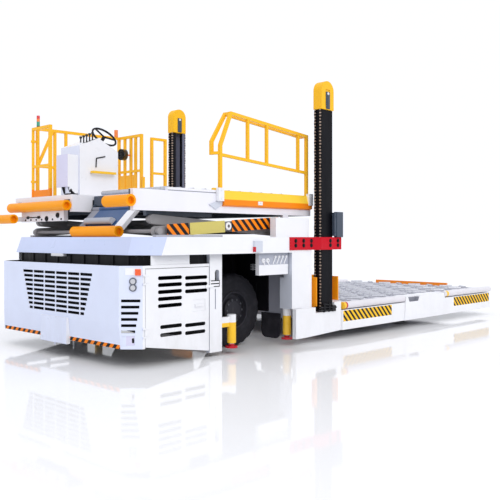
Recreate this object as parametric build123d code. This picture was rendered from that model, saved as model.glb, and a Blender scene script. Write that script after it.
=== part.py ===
from build123d import *
import math
import os

# Scissor lift cargo loader, in millimetres, +X forward, +Y left, +Z up, origin on the ground at mid length.
# A station is a distance behind the face of the front housing, a side is a distance left of the mid-plane.

# Running clearances, and how far a cutting shape runs past a face
pin_clearance = 0.5
seat_gap = 0.3
slide_clearance = 4
gap = 5
over = 1

# Overall width, and what stands proud at the ends
half_width = 1663
tow_proud = 30
lamp_proud = 25

# Front housing
housing_inset = 211
housing_half = half_width - housing_inset
housing_chamfer = 181
housing_front_half = housing_half - housing_chamfer
housing_length = 1150
housing_bottom = 208
housing_top = 1100
housing_wall = 12
roof_drop = 20
fold_z = 470
fold_lean = 20
jamb_margin = 34
jamb_st = housing_chamfer + jamb_margin

# Grille of the front face
grille_rows = 9
grille_columns = 6
grille_top_z = 1003
grille_pitch = 56
grille_slot = 32
grille_top_half = 770
grille_bottom_half = 610
grille_bar = 20
grille_shortest = 20

# Front corner panels: slots, recess and lamps
corner_rows = 6
corner_pitch = 66
corner_top_z = 741
corner_slot = 30
corner_slot_start = -102
corner_slot_top_width = 206
corner_slot_bottom_width = 150
recess_start = -94
recess_width = 136
recess_bottom = 250
recess_height = 100
recess_depth = 6
recess_hole_across = 25
recess_hole_d = 26
recess_hole_height = 30
headlamp_d = 68
headlamp_across = 25
headlamp_low_z = 866
headlamp_high_z = 935
headlamp_depth = 16
turn_lamp_across = 80
turn_lamp_z = 1032
turn_lamp_width = 62
turn_lamp_height = 66
turn_lamp_depth = 18

# Side doors
door_thickness = 12
door_rear_bottom = 85
door_front_rise = 15
door_slot_height = 42
handle_length = 120
handle_height = 28
handle_depth = 20
handle_z = 626
handle_rear = 160
handle_room = 40
latch_z = 835
latch_height = 30
latch_length = 130
latch_depth = 12
hinge_pin_d = 12
hinge_barrel_d = 26
hinge_barrel_length = 70
hinge_leaf_length = 60
hinge_leaf_depth = 8
hinge_lug_height = 19
hinge_lug_length = 40
hinge_low_rise = 170
hinge_high_drop = 150
hinge_side = housing_half + hinge_barrel_d / 2

# Tow panel with the end of its drop pin
tow_half = 290
tow_bottom = 165
tow_top = 470
tow_pin_d = 30
tow_pin_drop = 28

# Posts beside the doors
post_width = 199
post_front_st = housing_length + housing_wall - slide_clearance
post_rear_st = post_front_st + post_width
post_bottom = 55
post_thickness = 60
hand_hole_width = 70
hand_hole_bottom = 880
hand_hole_height = 110
hand_slot_width = 15
hand_slot_bottom = 560
hand_slot_top = 800

# Front axle and wheels
tyre_d = 940
tyre_width = 300
tyre_sides = 36
axle_behind_post = 603
front_axle_st = post_rear_st + axle_behind_post
wheel_inset = 532
wheel_side = housing_half - wheel_inset
rim_d = 480
rim_dish_d = 420
rim_wall = 16
hub_d = 290
hub_cap_d = 240
hub_out = 120
hub_in = 40
hub_seat = 45
web_out = 55
web_in = 20
kingpin_offset = 100
kingpin_side = wheel_side - kingpin_offset
kingpin_d = 50
knuckle_boss_d = 90
knuckle_half_height = 129
ear_d = 100
ear_plate = 35
axle_root = 120
axle_root_length = 60
axle_d = 150
axle_hanger_width = 140
axle_hanger_side = 420
spindle_d = 80
spindle_out = 60

# Deck frame
frame_inset = 113
frame_half = half_width - frame_inset
frame_front_st = 150
frame_corner_width = 320
frame_front_half = frame_half - frame_corner_width
frame_corner_st = 361
frame_lean = 65
frame_bottom = 1210
frame_height = 200
frame_top = frame_bottom + frame_height
frame_beam = 110
frame_plate = 20
frame_rib = 80
frame_rib_drop = 60
frame_hanger = 120
frame_hanger_st = 320
frame_hanger_side = 700
board_length = 550
board_depth = 60
board_height = 279

# Rear pillars, bulkheads and mudflaps
pillar_behind_axle = 557
pillar_front_st = front_axle_st + pillar_behind_axle
pillar_length = 403
frame_rear_st = pillar_front_st + pillar_length
pillar_bottom = 475
pillar_width = 210
pillar_inner = frame_half - pillar_width
pillar_notch = 70
pillar_notch_top = 330
bulkhead_behind = 73
bulkhead_st = pillar_front_st + bulkhead_behind
bulkhead_plate = 15
bulkhead_width = 340
bulkhead_bottom = 335
mudflap_plate = 12
mudflap_bottom = 60
mudflap_width = 340
mudflap_out = 50
mudflap_lap = 60
mudflap_round = 90

# Masts
mast_behind_frame = 150
mast_front_st = frame_rear_st + mast_behind_frame
mast_depth = 240
mast_inset = 65
mast_width = 113
mast_outer = half_width - mast_inset
mast_inner = mast_outer - mast_width
mast_wall = 16
mast_lip = 50
mast_top = 3134
inner_wall = 12
cap_height = 388
cap_margin = 14
cap_wall = 10
cap_slot_width = 90
cap_slot_bottom = 60
cap_slot_top = 20
cap_wheel_d = 218
chain_width = 24
chain_thickness = 18
chain_pitch = 128
chain_waist = 12
chain_edge = 2

# Main platform
platform_behind_mast = 230
platform_front_st = mast_front_st + platform_behind_mast
platform_length = 4715
platform_rear_st = platform_front_st + platform_length
leg_inset = 18
leg_outer = half_width - leg_inset
leg_width = 225
leg_inner = leg_outer - leg_width
platform_leg_gap = 20
platform_half = leg_inner - platform_leg_gap
platform_bottom = 250
platform_top = 470
platform_plate = 20
platform_beam = 120
wheel_bay = 1030
roller_rows = 15
roller_columns = 8
roller_d = 56
roller_length = 230
roller_turn = 40
roller_sides = 10
rack_width = 46
rack_plate = 10
rack_margin = 90
roller_margin = 200
end_bar_half = 800
end_bar_depth = 50
end_bar_height = 65
end_bar_back = 30
tube_top = 510
tube_d = 100
tube_side = half_width - tube_d / 2
tube_z = tube_top - tube_d / 2
edge_plate = 20
edge_short = 30
tube_lamp_d = 70
tube_behind_shoe = 30
tube_lap = 20
tube_rear_lap = 60

# Side legs and rear wheel boxes
leg_bottom = 125
leg_top = 400
leg_wall = 18
leg_end = 10
leg_rear_st = platform_rear_st - leg_end
leg_lamp_d = 80
leg_lamp_z = 285
foot_inset = 43
foot_outer = half_width - foot_inset
foot_width = 130
foot_inner = foot_outer - foot_width
foot_skin = 60
foot_skin_length = 183
foot_bottom = 92
foot_st = pillar_front_st + foot_skin_length
mast_seat_z = 400
shoe_behind_mast = 15
shoe_front_st = mast_front_st + mast_depth + shoe_behind_mast
shoe_length = 155
shoe_rear_st = shoe_front_st + shoe_length
shoe_top = 520
box_behind_shoe = 1580
box_front_st = shoe_rear_st + box_behind_shoe
box_length = 1310
box_rear_st = box_front_st + box_length
box_front_slope = 40
box_rear_slope = 90
box_top = 490
pocket_start = 88
pocket_length = 357
pocket_slope = 45
pocket_depth = 70
pocket_floor_z = 405
box_solid_length = 480

# Rear axle and wheels
rear_axle_behind_box = 900
rear_axle_st = box_front_st + rear_axle_behind_box
rear_tyre_d = 380
rear_tyre_width = 150
rear_tyre_sides = 28
rear_tyre_shoulder = 14
rear_hub_d = 130
rear_hub_proud = 10
rear_dish_d = 240
rear_dish_depth = 20
rear_wheel_inset = 400
rear_wheel_side = platform_half - rear_wheel_inset
rear_axle_d = 60

# Lift carriages
carriage_plate = 40
carriage_outer = mast_inner - slide_clearance - gap
carriage_inner = carriage_outer - carriage_plate
carriage_ahead = 80
carriage_front_st = mast_front_st - carriage_ahead
carriage_behind = 130
carriage_rear_st = mast_front_st + mast_depth + carriage_behind
carriage_top = 900
carriage_shoe_margin = 20
wing_plate = 16
wing_bottom = 480
wing_top = 871
front_wing_inset = 24
rear_wing_proud = 6

# Red mast brackets, cabinets and boxes
bracket_ahead = 454
bracket_front_st = frame_rear_st - bracket_ahead
bracket_behind = 159
bracket_rear_st = mast_front_st + mast_depth + bracket_behind
bracket_fold = 85
bracket_fold_behind = 15
bracket_fold_st = frame_rear_st + bracket_fold_behind
bracket_height = 170
bracket_bottom = frame_top - bracket_height
bracket_plate = 12
bracket_off_mast = 24
bracket_out = mast_outer + bracket_off_mast
bracket_spacer_margin = 30
cabinet_length = 658
cabinet_inset = 50
cabinet_depth = 100
cabinet_outer = frame_half - cabinet_inset
cabinet_inner = cabinet_outer - cabinet_depth
cabinet_height = 250
switch_box_length = 139
switch_box_height = 345
switch_box_lap = 10
switch_box_inner = bracket_out - switch_box_lap
beam_box_st = 1785
beam_box_length = 144
beam_box_depth = 30
beam_box_bottom = 1228
beam_box_height = 134
engine_half = 600
engine_front_st = 330
engine_bottom = 330
engine_top = 1040

# Stabiliser jacks
jack_inset = 145
jack_side = frame_half - jack_inset
front_jack_behind_post = 203
front_jack_st = post_rear_st + front_jack_behind_post
rear_jack_behind = 68
rear_jack_st = pillar_front_st + rear_jack_behind
jack_barrel_d = 110
jack_rod_d = 70
jack_foot_d = 150
jack_foot_rise = 70
jack_foot_plate = 24
jack_barrel_bottom = 130
jack_head = 25
jack_rod_head = 60
jack_arm_width = 40
jack_arm_bottom = 330
jack_arm_top = 450

# Bridge
bridge_inset = 200
bridge_half = frame_half - bridge_inset
bridge_front_st = 130
bridge_deck_front_st = 690
bridge_past_mast = 70
bridge_rear_st = mast_front_st + bridge_past_mast
bridge_beam = 80
bridge_cross = 90
bridge_depth = 235
bridge_plate = 25
bridge_roller_d = 60
bridge_roller_pitch = 200
bridge_roller_margin = 80
bridge_roller_sides = 14
bridge_roller_rise = 35
bridge_roller_side = 200
runner_width = 40

# Scissor
scissor_front_st = 500
scissor_behind = 520
scissor_rear_st = bridge_rear_st - scissor_behind
pivot_rise = 65
scissor_rise = 135
scissor_low_z = frame_top + pivot_rise
scissor_high_z = scissor_low_z + scissor_rise
scissor_middle_st = (scissor_front_st + scissor_rear_st) / 2
scissor_middle_z = (scissor_low_z + scissor_high_z) / 2
arm_height = 112
arm_plate = 50
outer_arm_inset = 100
outer_arm_side = bridge_half - outer_arm_inset
inner_arm_side = outer_arm_side - arm_plate - 2 * gap
scissor_pin_d = 50
scissor_roller_d = 80
scissor_roller_width = 45
scissor_shaft_d = 44
scissor_tie_d = 70
scissor_tie_share = 0.2
scissor_pin_proud = 15
scissor_shaft_margin = 10
track_front = 70
track_length = 1020
track_width = 60
pivot_lug_half = 50
pivot_lug_width = 60
bridge_lug_half = 55
bridge_bottom_rise = 90
bridge_bottom = scissor_high_z + bridge_bottom_rise
bridge_top = bridge_bottom + bridge_depth
deck_z = bridge_top - bridge_plate
roof_track_plate = 20
roof_track_width = 52
roof_track_length = 1005

# Left edge of the bridge: kerb, fan plate and toe board
kerb_front_st = 613
kerb_rear_st = 1353
kerb_width = 50
kerb_height = 38
fan_plate = 14
fan_front_st = 1231
fan_rear_st = 1448
fan_bottom = 1739
toe_front_st = 1453
toe_rear_margin = 10
toe_bottom = 1780
toe_fold_low = 1796
toe_fold_high = 1862
toe_top = 1975
toe_out = 40
toe_lip = 8

# Guard rails
rail_bar = 40
post_bar = 36
guard_inset = 25
guard_apart = 100
guard_front_st = 1446
guard_rear_st = 3080
guard_knee_z = 2520
guard_crown_st = 1623
guard_crown_z = 2928
guard_rear_z = 2790
guard_mid_front_z = 2408
guard_mid_rear_z = 2290
guard_setback = 50
guard_uprights = (1922, 2275, 2900)
right_guard_st = 2480
right_guard_length = 270
right_guard_inset = 40
right_guard_height = 1020
right_guard_mid = 480

# Operator platform
operator_front_st = 370
operator_rear_st = 2120
operator_inner = -220
operator_outer = -half_width
operator_floor_rise = 10
operator_floor = 60
operator_floor_top = bridge_top + operator_floor_rise
operator_floor_z = operator_floor_top - operator_floor
bridge_split_st = operator_rear_st + gap
operator_front_plate = 60
operator_front_bottom = 1615
operator_front_inset = 170
operator_front_inner = 200
operator_cheek = 60
operator_cheek_bottom = 1728
operator_beam_bottom = 1800
rail_inset = 30
rail_side = operator_outer + rail_inset
rail_front_st = 690
rail_rear_st = operator_rear_st - rail_inset
rail_height = 1000
rail_mid_height = 470
rail_top_z = operator_floor_top + rail_height
rail_mid_z = operator_floor_top + rail_mid_height
brace_top_st = 932
far_posts = (965, 1146)
rear_posts = (155, 309, 427)
rear_rail_width = 570
rear_rail_end = rail_side + rear_rail_width
kick_height = 400
kick_width = 440
kick_plate = 12
kick_rise = 15
short_post_offset = 45
short_post_height = 370
gate_ahead = 70
gate_st = rail_front_st - gate_ahead
gate_width = 460
gate_rise = 20
gate_height = 985
gate_mid = 455
gate_kick_rise = 10
gate_kick_height = 110
gate_collar_d = 64
gate_collar_height = 30
gate_collar_arm = 28
gate_collar_rises = (230, 800)

# Operator's console
console_front_st = 610
console_length = 600
console_inner = -430
console_width = 450
console_front_z = 2600
console_crown_z = 2720
console_crown_st = 900
console_rear_z = 2560
cabinet_box_front_st = 450
cabinet_box_inner = -460
cabinet_box_width = 270
cabinet_box_bottom = 2058
cabinet_box_top = 2477
pedal_front_st = 480
pedal_width = 150
pedal_rise = 30
grab_bar_start = 170
grab_bar_length = 340
grab_bar_z = 2262
grab_bar_d = 30
grab_bar_out = 50
wheel_st = 1116
wheel_height = 2775
wheel_middle = -620
wheel_ring = 175
wheel_grip = 14
wheel_grip_sides = 6
wheel_tilt = 35
wheel_spoke = 24
wheel_column_d = 48
wheel_column_length = 190
lever_count = 5
lever_first_st = 670
lever_pitch = 45
lever_side = -500
lever_length = 90
lever_bar = 14
lever_knob = 26

# Warning lights
stack_d = 46
stack_height = 170
stack_behind_post = 10
beacon_d = 60
beacon_height = 110
beacon_ahead = 55
work_lamp_d = 170
work_lamp_depth = 70
work_lamp_st = 1905
work_lamp_z = 2660
work_lamp_arm = 24

# Bumpers
bumper_d = 130
bumper_bore_d = 84
bumper_bore_depth = 50
left_bumper_length = 455
left_bumper_past = 55
left_bumper_z = 1802
operator_bumper_z = 1808
operator_bumper_margin = 20
low_bumper_d = 122
low_bumper_st = 150
low_bumper_length = 373
low_bumper_z = 1652
low_bumper_arm = 60
low_bumper_arm_width = 90

# Front flap
apron_plate = 20
apron_rise = 40
apron_past = 40
flap_hinge_d = 50
flap_pin_d = 25
flap_pin_length = 60
flap_ear = 20
flap_hinge_st = bridge_deck_front_st - apron_plate - gap - flap_hinge_d / 2
flap_hinge_z = 1762
flap_tip_st = 350
flap_tip_z = frame_top + bumper_d / 2 + seat_gap
flap_inner = -150
flap_outer = 790
flap_plate = 36
flap_tip_margin = 60
flap_cheek_width = 150
flap_cheek_rise = 14
flap_cheek_margin = 70
flap_roller_d = 80
flap_roller_rise = 44
flap_roller_share = 0.66
flap_roller_start = 17
flap_roller_end = 553
flap_roller_bracket = 16

overall_length = tow_proud + platform_rear_st + lamp_proud
nose_x = overall_length / 2 - tow_proud




def x_at(station):
    """Position along X of a station."""
    return nose_x - station


def point(station, side, z):
    return Vector(x_at(station), side, z)


def block(st0, st1, side0, side1, z0, z1):
    """Box between two stations, two sides and two heights."""
    size = Box(abs(st1 - st0), abs(side1 - side0), abs(z1 - z0))
    return Pos(x_at((st0 + st1) / 2), (side0 + side1) / 2, (z0 + z1) / 2) * size


def plan_prism(outline, z0, z1):
    """Outline of (station, side) corners raised from z0 to z1."""
    face = make_face(Polyline(*[point(st, side, z0) for st, side in outline], close=True))
    return extrude(face, amount=z1 - z0, dir=(0, 0, 1))


def side_prism(outline, side0, side1):
    """Outline of (station, z) corners carried from side0 to side1."""
    face = make_face(Polyline(*[point(st, side0, z) for st, z in outline], close=True))
    return extrude(face, amount=side1 - side0, dir=(0, 1, 0))


def front_prism(outline, st0, st1):
    """Outline of (side, z) corners carried back from st0 to st1."""
    face = make_face(Polyline(*[point(st0, side, z) for side, z in outline], close=True))
    return extrude(face, amount=st1 - st0, dir=(-1, 0, 0))


def along(start, end, section):
    """Section carried from one (station, side, z) point to another."""
    base = point(*start)
    run = point(*end) - base
    upright = abs(run.X) + abs(run.Y) < over
    across = Vector(1, 0, 0) if upright else Vector(0, 0, 1).cross(run)
    plane = Plane(origin=base, x_dir=across, z_dir=run)
    return extrude(plane * section, amount=run.length)


def rod(start, end, diameter):
    """Round bar between two points."""
    return along(start, end, Circle(diameter / 2))


def bar(start, end, width):
    """Square tube between two points."""
    return along(start, end, Rectangle(width, width))


def cross_rod(station, z, side0, side1, diameter):
    """Round bar lying across the vehicle."""
    return rod((station, side0, z), (station, side1, z), diameter)


def bent_bar(corners, width):
    """Square tube through (station, side, z) corners, mitred where it turns."""
    path = Polyline(*[point(*corner) for corner in corners])
    run = path % 0
    across = Vector(1, 0, 0) if abs(run.Z) > 1 / 2 else Vector(0, 0, 1).cross(run)
    section = Plane(origin=path @ 0, x_dir=across, z_dir=run) * Rectangle(width, width)
    return sweep(section, path=path, transition=Transition.RIGHT)


def faceted(sections, sides, station, side, z, outward):
    """Wheel-like piece about a cross axis, standing on a flat, between many-sided sections of (distance outward, diameter)."""
    turns = [2 * math.pi * (corner + 1 / 2) / sides for corner in range(sides)]
    rings = []
    for offset, diameter in sections:
        reach = diameter / 2 / math.cos(math.pi / sides)
        rings.append([point(station + reach * math.cos(turn), side + outward * offset, z + reach * math.sin(turn)) for turn in turns])
    outlines = [rings[0], rings[-1]]
    for first, second in zip(rings, rings[1:]):
        outlines += [[first[corner - 1], first[corner], second[corner], second[corner - 1]] for corner in range(sides)]
    return Solid(Shell([make_face(Polyline(*outline, close=True)).face() for outline in outlines]))


def other_side(shape):
    """Copy on the right-hand side."""
    return mirror(shape, about=Plane.XZ)


def pair(shape):
    return [shape, other_side(shape)]


def both_sides(shapes):
    """Left pieces with their right-hand copies."""
    return [copy for shape in shapes for copy in pair(shape)]


def joined(shapes):
    """One solid from pieces that meet."""
    first, *rest = shapes
    return first.fuse(*rest) if rest else first


def emit(name, *shapes):
    """Write one node from its solids."""
    solids = [solid for shape in shapes for solid in shape.solids()]
    export_step(solids[0] if len(solids) == 1 else Compound(children=solids), f"parts/{name}.step")


def blend(first, last, row, rows):
    """Value at one of several evenly spaced rows."""
    return first + (last - first) * row / (rows - 1)


def housing_outline(inset, rear_st):
    """Plan of the front housing, drawn in by a wall."""
    slant = inset * math.tan(math.radians(22.5))
    half = housing_half - inset
    front_half = housing_front_half - slant
    corner_st = housing_chamfer + slant
    right = [(rear_st, -half), (corner_st, -half), (inset, -front_half)]
    left = [(st, -side) for st, side in reversed(right)]
    return right + left


def lean_wedge(inset):
    """What the lower front face loses as it leans back."""
    front = inset - housing_wall - over
    corners = [(front, housing_bottom - over), (inset + fold_lean, housing_bottom - over), (inset, fold_z), (front, fold_z)]
    return side_prism(corners, -housing_half, housing_half)


def grille_slots():
    """Rows of slots between upright bars, the outer ones cut off along two slanting lines."""
    slots = []
    pitch = (2 * grille_top_half + grille_bar) / grille_columns
    for row in range(grille_rows):
        half = blend(grille_top_half, grille_bottom_half, row, grille_rows)
        top = grille_top_z - row * grille_pitch
        for column in range(grille_columns):
            start = -grille_top_half + column * pitch
            left = max(start, -half)
            right = min(start + pitch - grille_bar, half)
            if right - left > grille_shortest:
                slots.append(block(-over, housing_wall + over, left, right, top - grille_slot, top))
    return slots


def on_corner(shape):
    """Shape drawn about the vertical axis, set on the left front corner with +X outwards."""
    middle = housing_chamfer / 2
    return Pos(x_at(middle), housing_front_half + middle, 0) * Rot(0, 0, 45) * shape


def corner_box(depth, start, width, z0, z1):
    """Box on the left corner panel, reaching the same depth in and out."""
    return on_corner(Pos(0, start + width / 2, (z0 + z1) / 2) * Box(2 * depth, width, z1 - z0))


def corner_disc(across, z, diameter, inner, outer):
    """Disc through the left corner panel, from a depth inside it to a distance outside."""
    face = Cylinder(diameter / 2, inner + outer, align=(Align.CENTER, Align.CENTER, Align.MIN))
    return on_corner(Pos(-inner, across, z) * Rot(0, 90, 0) * face)


def corner_cuts():
    """Slots of the left corner panel, shorter downwards, and its recess with an oval hole."""
    depth = 2 * housing_wall
    cuts = []
    for row in range(corner_rows):
        width = blend(corner_slot_top_width, corner_slot_bottom_width, row, corner_rows)
        top = corner_top_z - row * corner_pitch
        cuts.append(corner_box(depth, corner_slot_start, width, top - corner_slot, top))
    cuts.append(corner_box(recess_depth, recess_start, recess_width, recess_bottom, recess_bottom + recess_height))
    low = recess_bottom + (recess_height - recess_hole_height) / 2
    high = low + recess_hole_height
    cuts.append(corner_box(depth, recess_hole_across - recess_hole_d / 2, recess_hole_d, low, high))
    cuts += [corner_disc(recess_hole_across, z, recess_hole_d, depth, depth) for z in (low, high)]
    return cuts


def hinge_heights():
    """Heights of the door hinges."""
    return [housing_bottom + hinge_low_rise, housing_top - hinge_high_drop]


def make_front_housing():
    outer = plan_prism(housing_outline(0, jamb_st), housing_bottom, housing_top) - lean_wedge(0)
    inner = plan_prism(housing_outline(housing_wall, jamb_st + over), housing_bottom - over, housing_top + over)
    shell = outer - (inner - lean_wedge(housing_wall))
    left_cuts = corner_cuts()
    shell = shell.cut(*grille_slots(), *both_sides(left_cuts))
    roof_top = housing_top - roof_drop
    roof = plan_prism(housing_outline(housing_wall / 2, jamb_st), roof_top - housing_wall, roof_top)
    top = plan_prism(housing_outline(0, housing_length), housing_top - housing_wall, housing_top)
    well = plan_prism(housing_outline(2 * housing_wall, housing_length - 2 * housing_wall), roof_top, housing_top + over)
    rear_roof = block(jamb_st - housing_wall, housing_length, -housing_half, housing_half, roof_top - housing_wall, housing_top)
    roof = joined([roof, top, rear_roof]) - well
    rear_half = housing_half - door_thickness - gap
    rear = block(housing_length - housing_wall, housing_length, -rear_half, rear_half, housing_bottom, roof_top)
    lugs = []
    half = hinge_barrel_length / 2
    for z in hinge_heights():
        low = z - half - hinge_lug_height - over
        high = z + half + over
        lugs.append(rod((jamb_st, hinge_side, low), (jamb_st, hinge_side, high + hinge_lug_height), hinge_pin_d))
        for bottom in (low, high):
            lugs.append(block(jamb_st - hinge_lug_length, jamb_st + slide_clearance, housing_half - 2 * over,
                              hinge_side + hinge_pin_d / 2, bottom, bottom + hinge_lug_height))
    return joined([shell, roof, rear, *both_sides(lugs)])


def make_side_door():
    """Louvred left door, hinged at its front edge."""
    front = jamb_st + gap
    rear = housing_length - gap
    length = rear - front
    top = housing_top - roof_drop - housing_wall - gap
    inner = housing_half - door_thickness
    panel = side_prism([(front, housing_bottom + door_front_rise), (rear, door_rear_bottom), (rear, top), (front, top)],
                       inner, housing_half)
    # Columns of slots: first and last share of the door's length, top and pitch as shares of its height, rows.
    height = top - door_rear_bottom
    louvre_table = [(0.183, 0.556, 0.915, 0.078, 5), (0.603, 0.973, 0.902, 0.078, 3),
                    (0.216, 0.556, 0.366, 0.090, 2), (0.603, 0.941, 0.353, 0.090, 2)]
    slots = []
    for first, last, top_share, pitch, rows in louvre_table:
        start = front + first * length + door_slot_height / 2
        end = front + last * length - door_slot_height / 2
        for row in range(rows):
            z = door_rear_bottom + (top_share - row * pitch) * height - door_slot_height / 2
            low = z - door_slot_height / 2
            slots.append(block(start, end, inner - over, housing_half + over, low, low + door_slot_height))
            slots += [cross_rod(st, z, inner - over, housing_half + over, door_slot_height) for st in (start, end)]
    handle_st = rear - handle_rear
    room = block(handle_st - handle_length / 2 - handle_room, handle_st + handle_length / 2 + handle_room,
                 housing_half - door_thickness / 2, housing_half + over, handle_z - handle_height - handle_room,
                 handle_z + handle_height + handle_room)
    panel = panel.cut(*slots, room)
    grip = block(handle_st - handle_length / 2, handle_st + handle_length / 2, housing_half - door_thickness / 2 - over,
                 housing_half + handle_depth - door_thickness / 2, handle_z - handle_height / 2, handle_z + handle_height / 2)
    latch_low = latch_z - latch_height / 2
    latch = block(rear - latch_length / 2, rear + latch_length / 2, housing_half + seat_gap, housing_half + latch_depth,
                  latch_low, latch_low + latch_height)
    latch_root = block(rear - latch_length / 2, rear - gap, housing_half - over, housing_half + latch_depth, latch_low,
                       latch_low + latch_height)
    half = hinge_barrel_length / 2
    barrels = []
    for z in hinge_heights():
        barrel = rod((jamb_st, hinge_side, z - half), (jamb_st, hinge_side, z + half), hinge_barrel_d)
        leaf = block(jamb_st, jamb_st + hinge_leaf_length, housing_half - over, housing_half + hinge_leaf_depth, z - half,
                     z + half)
        hole = rod((jamb_st, hinge_side, z - half - over), (jamb_st, hinge_side, z + half + over),
                   hinge_pin_d + 2 * pin_clearance)
        barrels.append(joined([barrel, leaf]) - hole)
    return joined([panel, grip, latch, latch_root, *barrels])


def make_tow_panel():
    """Centre tow panel over the lower front, with the end of the drop pin below it."""
    panel = block(-tow_proud, -seat_gap, -tow_half, tow_half, tow_bottom, tow_top)
    backing = side_prism([(-seat_gap - over, tow_bottom), (fold_lean - seat_gap, tow_bottom),
                          (fold_lean - seat_gap, housing_bottom), (-seat_gap - over, fold_z)], -tow_half, tow_half)
    pin = rod((0, 0, tow_bottom - tow_pin_drop), (0, 0, tow_bottom + over), tow_pin_d)
    return joined([panel, backing, pin])


def lean_cut(start, end):
    """What a deck frame edge between two (station, side) corners loses as it leans in towards its top."""
    foot = point(*start, frame_bottom)
    run = (point(*end, frame_bottom) - foot).normalized()
    inward = run.cross(Vector(0, 0, 1))
    middle = point((frame_front_st + frame_rear_st) / 2, 0, frame_bottom)
    if inward.dot(middle - foot) < 0:
        inward = -inward
    reach = 2 * frame_half
    base = foot - run * reach
    out = base - inward * frame_lean
    rise = Vector(0, 0, frame_height + over)
    lean = inward * (frame_lean * (frame_height + over) / frame_height)
    face = make_face(Polyline(base, base + rise + lean, out + rise, out, close=True))
    return extrude(face, amount=2 * reach, dir=run)


def make_deck_frame():
    """Upper frame: beams round a plate, its front and corners leaning back, with ribs, hangers and blank boards."""
    def outline(inset):
        half = frame_half - inset
        corner = [(frame_rear_st - inset, -half), (frame_corner_st + inset / 2, -half),
                  (frame_front_st + inset, -frame_front_half + inset / 2)]
        return corner + [(st, -side) for st, side in reversed(corner)]

    frame = plan_prism(outline(0), frame_bottom, frame_top)
    corner = outline(0)
    frame = frame.cut(lean_cut(corner[1], corner[2]), lean_cut(corner[2], corner[3]), lean_cut(corner[3], corner[4]))
    under = frame_top - frame_plate
    pocket = plan_prism(outline(frame_beam + frame_lean), frame_bottom - over, under)
    inner_half = frame_half - frame_beam
    ribs = [block(st - frame_rib, st, -inner_half, inner_half, frame_bottom + frame_rib_drop, under)
            for st in (post_rear_st, pillar_front_st)]
    hangers = [block(frame_hanger_st, frame_hanger_st + frame_hanger, side - frame_hanger / 2, side + frame_hanger / 2,
                     housing_top - roof_drop, under) for side in (-frame_hanger_side, frame_hanger_side)]
    board_rear = pillar_front_st - 4 * gap
    board = block(board_rear - board_length, board_rear, inner_half, inner_half + board_depth, frame_bottom - board_height,
                  frame_bottom)
    return joined([frame - pocket, *ribs, *hangers, *pair(board)])


def make_side_posts():
    """Left front post with an arched hand hole, and left rear pillar with its notched front."""
    outer = housing_half - 2 * over
    post = block(post_front_st, post_rear_st, outer - post_thickness, outer, post_bottom, frame_bottom)
    arch_st = post_front_st + 0.6 * post_width
    top = hand_hole_bottom + hand_hole_height
    half = hand_hole_width / 2
    hole = block(arch_st - half, arch_st + half, 0, housing_half, hand_hole_bottom, top)
    arch = cross_rod(arch_st, top, 0, housing_half, hand_hole_width)
    slot = block(arch_st - half, arch_st - half + hand_slot_width, 0, housing_half, hand_slot_bottom, hand_slot_top)
    pillar = block(pillar_front_st, frame_rear_st, pillar_inner, frame_half, pillar_bottom, frame_bottom)
    notch_bottom = frame_bottom - pillar_notch_top
    notch = block(pillar_front_st - over, pillar_front_st + bulkhead_behind, pillar_inner - over, pillar_inner + pillar_notch,
                  notch_bottom, frame_bottom + over)
    return [post.cut(hole, arch, slot), pillar - notch]


def make_bulkhead():
    """Plate behind the left front wheel, from the pillar inwards."""
    return block(bulkhead_st, bulkhead_st + bulkhead_plate, pillar_inner - bulkhead_width, pillar_inner, bulkhead_bottom,
                 frame_top - frame_plate)


def make_mudflap():
    """Rubber flap hanging from the bulkhead, round at its lower corners."""
    outer = pillar_inner - mudflap_out
    flap = block(bulkhead_st - mudflap_plate, bulkhead_st, outer - mudflap_width, outer, mudflap_bottom,
                 bulkhead_bottom + mudflap_lap)
    lower = [edge for edge in flap.edges().filter_by(Axis.X) if edge.center().Z < mudflap_bottom + over]
    return fillet(lower, mudflap_round)


def make_side_leg():
    """Left leg: foot block under the pillar and mast, then a channel with the rear wheel box."""
    skin = block(pillar_front_st, foot_st, foot_outer - foot_skin, foot_outer, foot_bottom, pillar_bottom)
    foot = side_prism([(foot_st, foot_bottom), (shoe_rear_st, leg_bottom), (shoe_rear_st, shoe_top),
                       (shoe_front_st, shoe_top), (shoe_front_st, mast_seat_z), (frame_rear_st, mast_seat_z),
                       (frame_rear_st, pillar_bottom), (foot_st, pillar_bottom)], foot_inner, foot_outer)
    beam = block(shoe_rear_st, leg_rear_st, leg_inner, leg_outer, leg_bottom, leg_top)
    cover = side_prism([(box_front_st, leg_bottom), (box_rear_st, leg_bottom), (box_rear_st - box_rear_slope, box_top),
                        (box_front_st + box_front_slope, box_top)], leg_inner, half_width)
    # Hollows under the channel: first station, last station, outer face, top.
    hollow_table = [(shoe_rear_st, box_front_st + leg_wall, leg_outer, leg_top),
                    (box_front_st + box_solid_length, box_rear_st - box_rear_slope, half_width, box_top),
                    (box_rear_st, leg_rear_st, leg_outer, leg_top)]
    cuts = [block(first + leg_wall, last - leg_wall, leg_inner + leg_wall, outer - leg_wall, leg_bottom - over, top - leg_wall)
            for first, last, outer, top in hollow_table]
    pocket_front = box_front_st + pocket_start
    pocket_rear = pocket_front + pocket_length
    cuts.append(side_prism([(pocket_front, box_top + over), (pocket_front + pocket_slope, pocket_floor_z),
                            (pocket_rear - pocket_slope, pocket_floor_z), (pocket_rear, box_top + over)],
                           half_width - pocket_depth, half_width + over))
    return joined([skin, foot, beam, cover]).cut(*cuts)


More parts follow.
